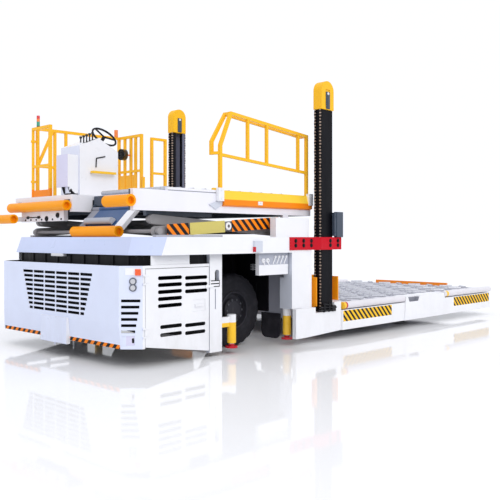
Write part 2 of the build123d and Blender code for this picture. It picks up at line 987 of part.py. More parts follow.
def channel(front_st, depth, inner_side, outer_side, wall, lip, z0, z1):
    """Mast rail: a box open on its inner side between two lips."""
    rail = block(front_st, front_st + depth, inner_side, outer_side, z0, z1)
    room = block(front_st + wall, front_st + depth - wall, inner_side + wall, outer_side - wall, z0 - over, z1 + over)
    mouth = block(front_st + lip, front_st + depth - lip, inner_side - over, inner_side + wall + over, z0 - over, z1 + over)
    return rail - room - mouth


def make_mast_column():
    return channel(mast_front_st, mast_depth, mast_inner, mast_outer, mast_wall, mast_lip, mast_seat_z, mast_top)


def make_inner_mast():
    """Inner mast rail, running in the column."""
    inset = mast_wall + slide_clearance
    return channel(mast_front_st + inset, mast_depth - 2 * inset, mast_inner + inset, mast_outer - inset, inner_wall,
                   mast_lip - inset, mast_seat_z + seat_gap, mast_top + gap)


def make_mast_cap():
    """Arched cap over the chain wheel, with a slot in its outer side."""
    front = mast_front_st - cap_margin
    rear = mast_front_st + mast_depth + cap_margin
    middle = (front + rear) / 2
    radius = (rear - front) / 2
    bottom = mast_top + gap
    inner = mast_inner - cap_margin
    outer = mast_outer + cap_margin
    spring = bottom + cap_height - radius
    shell = joined([block(front, rear, inner, outer, bottom, spring), cross_rod(middle, spring, inner, outer, 2 * radius)])
    room_inner = inner + cap_wall
    room_outer = outer - cap_wall
    room = joined([block(front + cap_wall, rear - cap_wall, room_inner, room_outer, bottom + cap_wall, spring),
                   cross_rod(middle, spring, room_inner, room_outer, 2 * (radius - cap_wall))])
    slot = block(middle - cap_slot_width / 2, middle + cap_slot_width / 2, room_outer - over, outer + over,
                 bottom + cap_slot_bottom, spring + cap_slot_top)
    wheel = cross_rod(middle, spring, room_inner, room_outer, cap_wheel_d)
    return joined([shell - room - slot, wheel])


def chain(station, side, z0, z1):
    """Leaf chain strand with waisted links, lying against a mast face."""
    links = int((z1 - z0) / chain_pitch)
    half = chain_width / 2
    waist = chain_waist / 2
    left = []
    for link in range(links):
        low = z1 - (links - link) * chain_pitch
        left += [(side - waist, low), (side - half, low + chain_pitch / 2)]
    left.append((side - waist, z1))
    right = [(2 * side - place, z) for place, z in reversed(left)]
    return front_prism(left + right, station, station + chain_thickness)


def make_anchor_chain():
    """Strand made fast to the front of the left column."""
    return chain(mast_front_st - chain_thickness, mast_outer - chain_edge - chain_width / 2, mast_seat_z, mast_top)


def make_head_chains():
    """Strands that hang from the left cap, one before the mast and one behind it."""
    top = mast_top + gap
    side = mast_inner + chain_edge + chain_width / 2
    front = chain(mast_front_st - chain_thickness - gap, side, shoe_top, top)
    rear = chain(mast_front_st + mast_depth + gap, side, carriage_top, top)
    return [front, rear]


def make_bracket():
    """Bent bracket tying the left mast to the deck frame."""
    inner_line = [(bracket_front_st, frame_half), (bracket_fold_st, frame_half), (bracket_fold_st + bracket_fold, bracket_out),
                  (bracket_rear_st, bracket_out)]
    outer_line = [(st, side + bracket_plate) for st, side in reversed(inner_line)]
    plate = plan_prism(inner_line + outer_line, bracket_bottom, frame_top)
    spacer = block(mast_front_st + bracket_spacer_margin, mast_front_st + mast_depth - bracket_spacer_margin, mast_outer,
                   bracket_out, bracket_bottom, frame_top)
    return joined([plate, spacer])


def make_front_axle():
    """Axle beam with a fork and kingpin at each end, hung from the deck frame."""
    z = tyre_d / 2
    ear_half = knuckle_half_height + over
    high = ear_half + ear_plate
    half = ear_d / 2
    root = kingpin_side - axle_root
    left = [block(front_axle_st - half, front_axle_st + half, root - axle_root_length, root, z - high, z + high)]
    for low in (z - high, z + ear_half):
        left.append(block(front_axle_st - half, front_axle_st + half, root, kingpin_side, low, low + ear_plate))
        left.append(rod((front_axle_st, kingpin_side, low), (front_axle_st, kingpin_side, low + ear_plate), ear_d))
    left.append(rod((front_axle_st, kingpin_side, z - high), (front_axle_st, kingpin_side, z + high), kingpin_d))
    hanger = axle_hanger_width / 2
    left.append(block(front_axle_st - hanger, front_axle_st + hanger, axle_hanger_side - hanger, axle_hanger_side + hanger, z,
                      frame_top - frame_plate))
    beam = cross_rod(front_axle_st, z, -root, root, axle_d)
    return joined([beam, *both_sides(left)])


def make_knuckle(side, outward):
    """Steering knuckle: a boss on the kingpin and the wheel spindle."""
    z = tyre_d / 2
    boss = rod((front_axle_st, side, z - knuckle_half_height), (front_axle_st, side, z + knuckle_half_height), knuckle_boss_d)
    spindle = cross_rod(front_axle_st, z, side, side + outward * (kingpin_offset + spindle_out), spindle_d)
    reach = knuckle_half_height + over
    pin_hole = rod((front_axle_st, side, z - reach), (front_axle_st, side, z + reach), kingpin_d + 2 * pin_clearance)
    return joined([boss, spindle]) - pin_hole


def make_front_tyre(side, outward):
    """Tyre with rounded shoulders, open for the rim."""
    half = tyre_width / 2
    # Sections from the middle outwards: share of the half width, share of the diameter.
    profile = [(1.0, 0.64), (0.97, 0.80), (0.87, 0.94), (0.60, 1.0)]
    outer = [(-share * half, size * tyre_d) for share, size in profile]
    outer += [(share * half, size * tyre_d) for share, size in reversed(profile)]
    tyre = faceted(outer, tyre_sides, front_axle_st, side, tyre_d / 2, outward)
    return tyre - faceted([(-half - over, rim_d), (half + over, rim_d)], tyre_sides, front_axle_st, side, tyre_d / 2, outward)


def make_front_rim(side, outward):
    """Dished rim with a closed hub on the spindle."""
    half = tyre_width / 2 - rim_wall
    place = (tyre_sides, front_axle_st, side, tyre_d / 2, outward)
    drum = faceted([(-half, rim_d), (half, rim_d)], *place)
    dish = faceted([(web_out, rim_dish_d), (half + over, rim_d - 2 * rim_wall)], *place)
    hollow = faceted([(-half - over, rim_d - 2 * rim_wall), (web_in, rim_dish_d)], *place)
    hub = faceted([(-hub_in, hub_cap_d), (hub_seat, hub_d), (hub_out - rim_wall, hub_d), (hub_out, hub_cap_d)], *place)
    ends = sorted((side - outward * (half + over), side + outward * (spindle_out + pin_clearance)))
    bore = cross_rod(front_axle_st, tyre_d / 2, *ends, spindle_d + 2 * pin_clearance)
    return joined([drum - dish - hollow, hub]) - bore


def make_rear_wheel(side, outward):
    """Small solid-tyred wheel with its hub."""
    half = rear_tyre_width / 2
    place = (rear_tyre_sides, rear_axle_st, side, rear_tyre_d / 2, outward)
    tread = rear_tyre_d - 2 * rear_tyre_shoulder
    tyre = faceted([(-half, tread), (-half + rear_tyre_shoulder, rear_tyre_d), (half - rear_tyre_shoulder, rear_tyre_d),
                    (half, tread)], *place)
    dishes = [faceted([(start, rear_dish_d), (start + rear_dish_depth, rear_dish_d)], *place)
              for start in (-half, half - rear_dish_depth)]
    hub = faceted([(-half - rear_hub_proud, rear_hub_d), (half + rear_hub_proud, rear_hub_d)], *place)
    bore = cross_rod(rear_axle_st, rear_tyre_d / 2, side - rear_tyre_width, side + rear_tyre_width,
                     rear_axle_d + 2 * pin_clearance)
    return joined([tyre.cut(*dishes), hub]) - bore


def make_rear_axle():
    """Axle tube between the two legs."""
    return cross_rod(rear_axle_st, rear_tyre_d / 2, -leg_inner, leg_inner, rear_axle_d)


def jack_stations():
    return [front_jack_st, rear_jack_st]


def make_jack_barrels():
    """Left pair of jack barrels, the front one on an arm from the post and the rear one under the pillar."""
    barrels = []
    for station in jack_stations():
        barrel = rod((station, jack_side, jack_barrel_bottom), (station, jack_side, pillar_bottom), jack_barrel_d)
        bore = rod((station, jack_side, jack_barrel_bottom - over), (station, jack_side, pillar_bottom - jack_head),
                   jack_rod_d + 2 * pin_clearance)
        barrels.append(barrel - bore)
    half = jack_arm_width / 2
    arm = block(post_rear_st, front_jack_st - jack_rod_d / 2 - gap, jack_side - half, jack_side + half, jack_arm_bottom,
                jack_arm_top)
    front, rear = barrels
    return [joined([front, arm]), rear]


def make_jack_rods():
    """Left pair of jack rods with their feet."""
    rods = []
    for station in jack_stations():
        foot = rod((station, jack_side, jack_foot_rise), (station, jack_side, jack_foot_rise + jack_foot_plate), jack_foot_d)
        stem = rod((station, jack_side, jack_foot_rise), (station, jack_side, pillar_bottom - jack_rod_head), jack_rod_d)
        rods.append(joined([foot, stem]))
    return rods


def scissor_arm(low_st, high_st, side0):
    """Arm plate from a low end to a high end, round at both ends."""
    run = high_st - low_st
    length = math.hypot(run, scissor_rise)
    half = arm_height / 2
    lean_st = half * scissor_rise / length
    lean_z = half * run / length
    corners = [(low_st - lean_st, scissor_low_z + lean_z), (high_st - lean_st, scissor_high_z + lean_z),
               (high_st + lean_st, scissor_high_z - lean_z), (low_st + lean_st, scissor_low_z - lean_z)]
    side1 = side0 + arm_plate
    return [side_prism(corners, side0, side1), cross_rod(low_st, scissor_low_z, side0, side1, arm_height),
            cross_rod(high_st, scissor_high_z, side0, side1, arm_height)]


def make_outer_arms():
    """Outer arms: rollers low at the front, pins high at the rear."""
    face = outer_arm_side + arm_plate
    roller_end = face + gap + scissor_roller_width
    left = scissor_arm(scissor_front_st, scissor_rear_st, outer_arm_side)
    left.append(cross_rod(scissor_front_st, scissor_low_z, outer_arm_side, roller_end, scissor_pin_d))
    left.append(cross_rod(scissor_front_st, scissor_low_z, face + gap, roller_end, scissor_roller_d))
    low_shaft = cross_rod(scissor_front_st, scissor_low_z, -outer_arm_side, outer_arm_side, scissor_shaft_d)
    reach = bridge_half - scissor_shaft_margin
    high_shaft = cross_rod(scissor_rear_st, scissor_high_z, -reach, reach, scissor_pin_d)
    hole = cross_rod(scissor_middle_st, scissor_middle_z, -frame_half, frame_half, scissor_pin_d + 2 * pin_clearance)
    return joined([*both_sides(left), low_shaft, high_shaft]) - hole


def make_inner_arms():
    """Inner arms: pins low at the rear, rollers high at the front, and the centre pins."""
    roller_end = inner_arm_side - gap - scissor_roller_width
    pin_end = outer_arm_side + arm_plate + scissor_pin_proud
    left = scissor_arm(scissor_rear_st, scissor_front_st, inner_arm_side)
    left.append(cross_rod(scissor_front_st, scissor_high_z, roller_end, inner_arm_side, scissor_pin_d))
    left.append(cross_rod(scissor_front_st, scissor_high_z, roller_end, inner_arm_side - gap, scissor_roller_d))
    left.append(cross_rod(scissor_middle_st, scissor_middle_z, inner_arm_side, pin_end, scissor_pin_d))
    tie_st = scissor_front_st + scissor_tie_share * (scissor_rear_st - scissor_front_st)
    tie_z = scissor_high_z - scissor_tie_share * scissor_rise
    tie = cross_rod(tie_st, tie_z, -inner_arm_side, inner_arm_side, scissor_tie_d)
    shaft = cross_rod(scissor_rear_st, scissor_low_z, -inner_arm_side, inner_arm_side, scissor_pin_d)
    return joined([*both_sides(left), tie, shaft])


def make_scissor_tracks():
    """Left roller track and rear pivot lug on the deck frame."""
    track_inner = outer_arm_side + arm_plate + gap
    track = block(scissor_front_st - track_front, scissor_front_st - track_front + track_length, track_inner,
                  track_inner + track_width, frame_top, scissor_low_z - scissor_roller_d / 2 - pin_clearance)
    lug_outer = inner_arm_side - gap
    lug_inner = lug_outer - pivot_lug_width
    foot = block(scissor_rear_st - pivot_lug_half, scissor_rear_st + pivot_lug_half, lug_inner, lug_outer, frame_top,
                 scissor_low_z)
    eye = cross_rod(scissor_rear_st, scissor_low_z, lug_inner, lug_outer, 2 * pivot_lug_half)
    hole = cross_rod(scissor_rear_st, scissor_low_z, 0, frame_half, scissor_pin_d + 2 * pin_clearance)
    return [track, joined([foot, eye]) - hole]


def bridge_beams():
    """Side beams, spine and cross beams of the bridge."""
    spine = operator_inner + gap
    right_inner = bridge_beam - bridge_half
    # Members: first station, last station, first side, last side, top.
    beam_table = [(bridge_front_st, bridge_rear_st, bridge_half - bridge_beam, bridge_half, bridge_top),
                  (bridge_deck_front_st, bridge_rear_st, -bridge_half, right_inner, operator_floor_z),
                  (bridge_split_st, bridge_rear_st, -bridge_half, right_inner, bridge_top),
                  (bridge_deck_front_st, bridge_split_st + bridge_beam, spine, spine + bridge_beam, deck_z),
                  (bridge_deck_front_st, bridge_deck_front_st + bridge_cross, -bridge_half, bridge_half, operator_floor_z),
                  (bridge_deck_front_st, bridge_deck_front_st + bridge_cross, spine, bridge_half, deck_z),
                  (bridge_rear_st - bridge_cross, bridge_rear_st, -bridge_half, bridge_half, deck_z)]
    return [block(first, last, side0, side1, bridge_bottom, top) for first, last, side0, side1, top in beam_table]


def bridge_left_edge():
    """Kerb on the left beam and the fan plate before the toe board."""
    kerb = block(kerb_front_st, kerb_rear_st, bridge_half - kerb_width, bridge_half, bridge_top, bridge_top + kerb_height)
    fan_middle_st = (fan_front_st + fan_rear_st) / 2
    fan = side_prism([(fan_front_st, toe_fold_low), (fan_middle_st, fan_bottom), (fan_rear_st, toe_fold_low),
                      (fan_rear_st, toe_fold_high)], bridge_half, bridge_half + fan_plate)
    return [kerb, fan]


def flap_ears():
    """Apron over the flap hinge, and an ear with its pin at each end of the hinge."""
    apron = block(bridge_deck_front_st - apron_plate, bridge_deck_front_st, flap_inner - apron_past, bridge_half - bridge_beam,
                  flap_hinge_z + apron_rise, bridge_top)
    ears = [apron]
    for edge, way in ((flap_outer, 1), (flap_inner, -1)):
        near = edge + way * over
        far = near + way * flap_ear
        ears.append(block(flap_hinge_st, bridge_deck_front_st, near, far, flap_hinge_z - flap_hinge_d / 2,
                          flap_hinge_z + apron_rise + apron_plate))
        ears.append(cross_rod(flap_hinge_st, flap_hinge_z, near, far, flap_hinge_d))
        ears.append(cross_rod(flap_hinge_st, flap_hinge_z, near - way * flap_pin_length, far, flap_pin_d))
    return ears


def make_bridge_frame():
    """Bridge: beams, deck plates, pivot lugs, upper roller tracks, left edge and the ears of the flap."""
    rear_deck = block(bridge_split_st, bridge_rear_st, -bridge_half, bridge_half, deck_z, bridge_top)
    front_deck = block(bridge_deck_front_st, bridge_split_st, operator_inner + gap, bridge_half, deck_z, bridge_top)
    lug_inner = outer_arm_side + arm_plate + gap
    lug = block(scissor_rear_st - bridge_lug_half, scissor_rear_st + bridge_lug_half, lug_inner, bridge_half, scissor_high_z,
                bridge_bottom + over)
    eye = cross_rod(scissor_rear_st, scissor_high_z, lug_inner, bridge_half, 2 * bridge_lug_half)
    track_outer = inner_arm_side - gap - over
    track_inner = track_outer - roof_track_width
    track_front = operator_front_st + operator_front_plate + gap
    track_rear = track_front + roof_track_length
    shelf_top = bridge_bottom + roof_track_plate
    track = block(track_front, track_rear, track_inner, track_outer, scissor_high_z + scissor_roller_d / 2 + pin_clearance,
                  shelf_top)
    shelf = block(bridge_deck_front_st, track_rear, track_inner, bridge_half - over, bridge_bottom, shelf_top)
    hole = cross_rod(scissor_rear_st, scissor_high_z, -frame_half, frame_half, scissor_pin_d + 2 * pin_clearance)
    whole = joined([*bridge_beams(), rear_deck, front_deck, *both_sides([lug, eye, track, shelf]), *bridge_left_edge()])
    return joined([whole - hole, *flap_ears()])


def make_bridge_rollers():
    """Rollers across the bridge deck, each on two runners."""
    count = int((bridge_rear_st - bridge_deck_front_st - bridge_roller_margin) / bridge_roller_pitch)
    start = operator_inner + bridge_roller_margin
    end = bridge_half - bridge_roller_side
    z = bridge_top + bridge_roller_rise
    rows = []
    for row in range(count):
        station = bridge_deck_front_st + bridge_roller_margin + row * bridge_roller_pitch
        half = runner_width / 2
        runners = [block(station - half, station + half, side - half, side + half, bridge_top, z)
                   for side in (start + half, end - half)]
        roller = faceted([(0, bridge_roller_d), (end - start, bridge_roller_d)], bridge_roller_sides, station, start, z, 1)
        rows.append(joined([roller, *runners]))
    return rows


def make_toe_board():
    """Folded toe board along the left edge of the bridge."""
    outer = bridge_half + toe_out
    outline = [(bridge_half, toe_bottom), (outer, toe_fold_low), (outer, toe_fold_high), (bridge_half + toe_lip, toe_top),
               (bridge_half, toe_top)]
    return front_prism(outline, toe_front_st, bridge_rear_st - toe_rear_margin)


def guard_top(station):
    """Height of the left guard's top rail, which falls towards the rear."""
    share = (station - guard_crown_st) / (guard_rear_st - guard_crown_st)
    return guard_crown_z + (guard_rear_z - guard_crown_z) * share


def guard_middle(station):
    """Height of the left guard's middle rail."""
    share = (station - guard_front_st) / (guard_rear_st - guard_front_st)
    return guard_mid_front_z + (guard_mid_rear_z - guard_mid_front_z) * share


def make_left_guard():
    """Left guard: a full frame and an upper loop inside it, tied together."""
    outer = bridge_half - guard_inset
    inner = outer - guard_apart
    front_in = guard_front_st - guard_setback
    frame = bent_bar([(guard_front_st, outer, bridge_top), (guard_front_st, outer, guard_knee_z),
                      (guard_crown_st, outer, guard_crown_z), (guard_rear_st, outer, guard_rear_z),
                      (guard_rear_st, outer, bridge_top)], rail_bar)
    loop = bent_bar([(front_in, inner, guard_mid_front_z), (front_in, inner, guard_knee_z + guard_setback),
                     (guard_crown_st, inner, guard_crown_z), (guard_rear_st, inner, guard_rear_z)], rail_bar)
    middle = bar((guard_front_st, outer, guard_mid_front_z), (guard_rear_st, outer, guard_mid_rear_z), post_bar)
    uprights = [bar((st, outer, guard_middle(st)), (st, outer, guard_top(st)), post_bar) for st in guard_uprights]
    ties = [bar((st, inner, guard_top(st)), (st, outer, guard_top(st)), post_bar) for st in (guard_crown_st, guard_rear_st)]
    knee_z = guard_mid_front_z + rail_bar / 2
    ties.append(bar((front_in, inner, knee_z), (guard_front_st, outer, knee_z), post_bar))
    return joined([frame, loop, middle, *uprights, *ties])


def make_right_guard():
    """Short guard at the right rear of the bridge."""
    side = right_guard_inset - bridge_half
    rear_st = right_guard_st + right_guard_length
    top = bridge_top + right_guard_height
    frame = bent_bar([(right_guard_st, side, bridge_top), (right_guard_st, side, top), (rear_st, side, top),
                      (rear_st, side, bridge_top)], rail_bar)
    middle_z = bridge_top + right_guard_mid
    return joined([frame, bar((right_guard_st, side, middle_z), (rear_st, side, middle_z), post_bar)])


def bumper(station, z, side0, side1, diameter):
    """Foam roll across the vehicle, hollow at its ends."""
    roll = cross_rod(station, z, side0, side1, diameter)
    left_bore = cross_rod(station, z, side1 - bumper_bore_depth, side1 + over, bumper_bore_d)
    right_bore = cross_rod(station, z, side0 - over, side0 + bumper_bore_depth, bumper_bore_d)
    return roll.cut(left_bore, right_bore)


def make_bumpers():
    """Foam rolls at the front of the bridge and of the operator platform."""
    reach = bumper_d / 2 + seat_gap
    left_end = bridge_half + left_bumper_past
    left = bumper(bridge_front_st - reach, left_bumper_z, left_end - left_bumper_length, left_end, bumper_d)
    right_end = operator_inner - operator_bumper_margin
    right = bumper(operator_front_st - reach, operator_bumper_z, operator_outer, right_end, bumper_d)
    low = bumper(low_bumper_st, low_bumper_z, operator_outer, operator_outer + low_bumper_length, low_bumper_d)
    return [left, right, low]


def make_operator_platform():
    """Floor beside the bridge deck, with its front plate, cheek, edge beam and the arm of the low bumper."""
    floor = block(operator_front_st, operator_rear_st, operator_outer, operator_inner, operator_floor_z, operator_floor_top)
    plate_outer = operator_outer + operator_front_inset
    front = block(operator_front_st, operator_front_st + operator_front_plate, plate_outer,
                  operator_inner - operator_front_inner, operator_front_bottom, operator_floor_z)
    cheek = block(operator_front_st, bridge_deck_front_st - apron_plate - gap, operator_inner - operator_cheek, operator_inner,
                  operator_cheek_bottom, operator_floor_z)
    edge = block(bridge_deck_front_st, operator_rear_st, operator_outer, operator_outer + operator_cheek, operator_beam_bottom,
                 operator_floor_z)
    arm = block(low_bumper_st + low_bumper_d / 2 + seat_gap, operator_front_st, plate_outer, plate_outer + low_bumper_arm_width,
                low_bumper_z - low_bumper_arm / 2, low_bumper_z + low_bumper_arm / 2)
    return joined([floor, front, cheek, edge, arm])


def make_operator_rails():
    """Rails round the operator platform, with a brace, a kick panel and the collars of the gate."""
    base = operator_floor_top
    far = bent_bar([(rail_front_st, rail_side, base), (rail_front_st, rail_side, rail_top_z),
                    (rail_rear_st, rail_side, rail_top_z), (rail_rear_st, rail_side, base)], rail_bar)
    rear = bent_bar([(rail_rear_st, rail_side, rail_top_z), (rail_rear_st, rear_rail_end, rail_top_z),
                     (rail_rear_st, rear_rail_end, base)], rail_bar)
    members = [far, rear]
    members.append(bar((rail_front_st, rail_side, rail_mid_z), (rail_rear_st, rail_side, rail_mid_z), post_bar))
    members.append(bar((rail_rear_st, rail_side, rail_mid_z), (rail_rear_st, rear_rail_end, rail_mid_z), post_bar))
    members.append(bar((rail_front_st, rail_side, rail_mid_z), (brace_top_st, rail_side, rail_top_z), post_bar))
    members += [bar((st, rail_side, base), (st, rail_side, rail_top_z), post_bar) for st in far_posts]
    members += [bar((rail_rear_st, rail_side + offset, base), (rail_rear_st, rail_side + offset, rail_top_z), post_bar)
                for offset in rear_posts]
    short_side = rear_rail_end + short_post_offset
    short_top = base + short_post_height
    members.append(bar((rail_rear_st, short_side, base), (rail_rear_st, short_side, short_top), post_bar))
    link_z = short_top - post_bar
    members.append(bar((rail_rear_st, rear_rail_end, link_z), (rail_rear_st, short_side, link_z), post_bar))
    members.append(block(rail_rear_st - kick_plate / 2, rail_rear_st + kick_plate / 2, rail_side, rail_side + kick_width,
                         base + kick_rise, base + kick_rise + kick_height))
    for rise in gate_collar_rises:
        low = base + rise
        high = low + gate_collar_height
        arm = block(gate_st, rail_front_st, rail_side - gate_collar_arm / 2, rail_side + gate_collar_arm / 2, low, high)
        ring = rod((gate_st, rail_side, low), (gate_st, rail_side, high), gate_collar_d)
        bore = rod((gate_st, rail_side, low - over), (gate_st, rail_side, high + over), rail_bar + 2 * pin_clearance)
        members.append(joined([arm, ring]) - bore)
    return joined(members)


def make_gate():
    """Swing gate at the front of the operator platform, on a round hinge post."""
    base = operator_floor_top
    end = rail_side + gate_width
    low = base + gate_rise
    top = base + gate_height
    post = rod((gate_st, rail_side, low), (gate_st, rail_side, top + rail_bar / 2), rail_bar)
    frame = bent_bar([(gate_st, rail_side, top), (gate_st, end, top), (gate_st, end, low)], rail_bar)
    middle = bar((gate_st, rail_side, base + gate_mid), (gate_st, end, base + gate_mid), post_bar)
    kick = block(gate_st - kick_plate / 2, gate_st + kick_plate / 2, rail_side, end, base + gate_kick_rise,
                 base + gate_kick_rise + gate_kick_height)
    return joined([post, frame, middle, kick])


def console_top(station):
    """Height of the console's front slope."""
    share = (station - console_front_st) / (console_crown_st - console_front_st)
    return console_front_z + (console_crown_z - console_front_z) * share


def make_console():
    """Operator console with a sloping top, levers, a grab bar, the cabinet on its front and the pedal bracket."""
    base = operator_floor_top
    rear_st = console_front_st + console_length
    outer = console_inner - console_width
    body = side_prism([(console_front_st, base), (rear_st, base), (rear_st, console_rear_z),
                       (console_crown_st, console_crown_z), (console_front_st, console_front_z)], outer, console_inner)
    cabinet = block(cabinet_box_front_st, console_front_st, cabinet_box_inner - cabinet_box_width, cabinet_box_inner,
                    cabinet_box_bottom, cabinet_box_top)
    pedal = block(pedal_front_st, console_front_st, cabinet_box_inner - pedal_width, cabinet_box_inner, base + pedal_rise,
                  cabinet_box_bottom)
    grab_start = console_front_st + grab_bar_start
    grab_end = grab_start + grab_bar_length
    grab_side = console_inner + grab_bar_out
    grab = bent_bar([(grab_start, console_inner, grab_bar_z), (grab_start, grab_side, grab_bar_z),
                     (grab_end, grab_side, grab_bar_z), (grab_end, console_inner, grab_bar_z)], grab_bar_d)
    levers = []
    for lever in range(lever_count):
        station = lever_first_st + lever * lever_pitch
        foot = console_top(station) - lever_bar
        top = foot + lever_length
        levers.append(bar((station, lever_side, foot), (station, lever_side, top), lever_bar))
        levers.append(bar((station, lever_side, top), (station, lever_side, top + lever_knob), lever_knob))
    return joined([body, cabinet, pedal, grab, *levers])


def make_steering_wheel(console):
    """Steering wheel with three spokes, its column seated on the console."""
    hub = Pos(x_at(wheel_st), wheel_middle, wheel_height) * Rot(0, -wheel_tilt, 0)
    grip = Plane.XZ * Pos(wheel_ring, 0) * RegularPolygon(wheel_grip, wheel_grip_sides)
    ring = hub * revolve(grip, Axis.Z)
    spoke = Pos(wheel_ring / 2, 0, 0) * Box(wheel_ring, wheel_spoke, wheel_grip)
    spokes = [hub * Rot(0, 0, turn) * spoke for turn in (0, 120, 240)]
    column = hub * Pos(0, 0, -wheel_column_length / 2) * Cylinder(wheel_column_d / 2, wheel_column_length)
    return joined([ring, *spokes, column - console])


def make_warning_lights():
    """Stack light and beacon on the top rail, and a work lamp on an arm from a rear post."""
    top = rail_top_z + rail_bar / 2
    stack_st = rail_front_st + stack_behind_post
    stack = rod((stack_st, rail_side, top), (stack_st, rail_side, top + stack_height), stack_d)
    beacon_st = rail_rear_st - beacon_ahead
    beacon = rod((beacon_st, rail_side, top), (beacon_st, rail_side, top + beacon_height), beacon_d)
    side = rail_side + rear_posts[1]
    lamp_rear = work_lamp_st + work_lamp_depth
    lamp = rod((work_lamp_st, side, work_lamp_z), (lamp_rear, side, work_lamp_z), work_lamp_d)
    arm = bar((lamp_rear - over, side, work_lamp_z), (rail_rear_st - post_bar / 2 - seat_gap, side, work_lamp_z), work_lamp_arm)
    return [stack, beacon, joined([lamp, arm])]


def on_flap(distance, rise):
    """Station and height at a distance down the flap's face and a rise above it."""
    run = flap_hinge_st - flap_tip_st
    drop = flap_hinge_z - flap_tip_z
    length = math.hypot(run, drop)
    return (flap_hinge_st - (distance * run + rise * drop) / length, flap_hinge_z - (distance * drop - rise * run) / length)


def flap_strip(start, end, low, high, side0, side1):
    """Flat piece along the flap between two distances down it and two rises above its face."""
    return side_prism([on_flap(start, low), on_flap(end, low), on_flap(end, high), on_flap(start, high)], side0, side1)


def make_front_flap():
    """Hanging flap with its hinge tube, raised cheek, and a roller held between two brackets."""
    length = math.hypot(flap_hinge_st - flap_tip_st, flap_hinge_z - flap_tip_z)
    end = length - flap_tip_margin
    plate = flap_strip(0, end, -flap_plate, 0, flap_inner, flap_outer)
    cheek = flap_strip(flap_cheek_margin, end, -over, flap_cheek_rise, flap_outer - flap_cheek_width, flap_outer)
    middle = flap_roller_share * length
    roller = cross_rod(*on_flap(middle, flap_roller_rise), flap_roller_start, flap_roller_end, flap_roller_d)
    half = flap_roller_d / 2
    brackets = [flap_strip(middle - half, middle + half, -over, flap_roller_rise, side, side + flap_roller_bracket)
                for side in (flap_roller_start - flap_roller_bracket, flap_roller_end)]
    hinge = cross_rod(flap_hinge_st, flap_hinge_z, flap_inner, flap_outer, flap_hinge_d)
    bore = cross_rod(flap_hinge_st, flap_hinge_z, flap_inner - over, flap_outer + over, flap_pin_d + 2 * pin_clearance)
    seat = cross_rod(flap_tip_st, flap_tip_z, flap_inner - over, flap_outer + over, bumper_d)
    return joined([plate, cheek, roller, *brackets, hinge]) - bore - seat


def make_flap_bumper():
    return bumper(flap_tip_st, flap_tip_z, flap_inner, flap_outer, bumper_d)


def tube_runs():
    """First and last stations of the side tubes, ahead of the wheel box and behind it."""
    return [(shoe_rear_st + tube_behind_shoe, box_front_st + tube_lap), (box_rear_st - tube_rear_lap, platform_rear_st)]


def tray_bays():
    """First and last stations of the tray's bays: two ahead of the wheels, one round them and one behind."""
    front = platform_front_st + platform_beam
    wheel_front = rear_axle_st - wheel_bay / 2
    wheel_rear = rear_axle_st + wheel_bay / 2
    middle = (front + wheel_front - platform_beam) / 2
    half = platform_beam / 2
    return [(front, middle - half), (middle + half, wheel_front - platform_beam), (wheel_front, wheel_rear),
            (wheel_rear + platform_beam, platform_rear_st - platform_beam)]


def make_platform_frame():
    """Main platform: tray with beams under its plate, rear stop bar and the shelves of the side tubes."""
    tray = block(platform_front_st, platform_rear_st, -platform_half, platform_half, platform_bottom, platform_top)
    room_half = platform_half - platform_beam
    rooms = [block(first, last, -room_half, room_half, platform_bottom - over, platform_top - platform_plate)
             for first, last in tray_bays()]
    front = block(platform_front_st, carriage_rear_st, -carriage_inner, carriage_inner, platform_bottom, platform_top)
    bar_rear = platform_rear_st - end_bar_back
    end_bar = block(bar_rear - end_bar_depth, bar_rear, -end_bar_half, end_bar_half, platform_top,
                    platform_top + end_bar_height)
    shelves = []
    for first, last in tube_runs():
        shelf = block(first, last, platform_half - over, tube_side - edge_short, tube_z - edge_plate, tube_z)
        seat = rod((first - over, tube_side, tube_z), (last + over, tube_side, tube_z), tube_d + 2 * seat_gap)
        shelves.append(shelf - seat)
    return joined([tray.cut(*rooms), front, end_bar, *both_sides(shelves)])


def make_side_tubes():
    return [rod((first, tube_side, tube_z), (last, tube_side, tube_z), tube_d) for first, last in tube_runs()]


def roller_row(turn):
    """Rack across the deck with short rollers turned one way and the other by turns."""
    half = platform_half - rack_margin
    top = platform_top + rack_plate
    pieces = [block(platform_front_st - rack_width / 2, platform_front_st + rack_width / 2, -half, half, platform_top, top)]
    axle = Rot(90, 0, 0) * extrude(RegularPolygon(roller_d / 2, roller_sides), amount=roller_length / 2, both=True)
    end = half - roller_length / 2
    for column in range(roller_columns):
        side = blend(-end, end, column, roller_columns)
        pieces.append(Pos(x_at(platform_front_st), side, top) * Rot(0, 0, turn) * axle)
        turn = -turn
    sunk = block(platform_front_st - roller_length, platform_front_st + roller_length, -platform_half, platform_half,
                 platform_top - roller_d, platform_top)
    return joined(pieces) - sunk


def make_platform_rollers():
    """Rows of rollers over the main deck, each row turned against the next."""
    rows = [roller_row(roller_turn), roller_row(-roller_turn)]
    run = platform_length - 2 * roller_margin
    return [Pos(-roller_margin - run * row / (roller_rows - 1), 0, 0) * rows[row % 2] for row in range(roller_rows)]


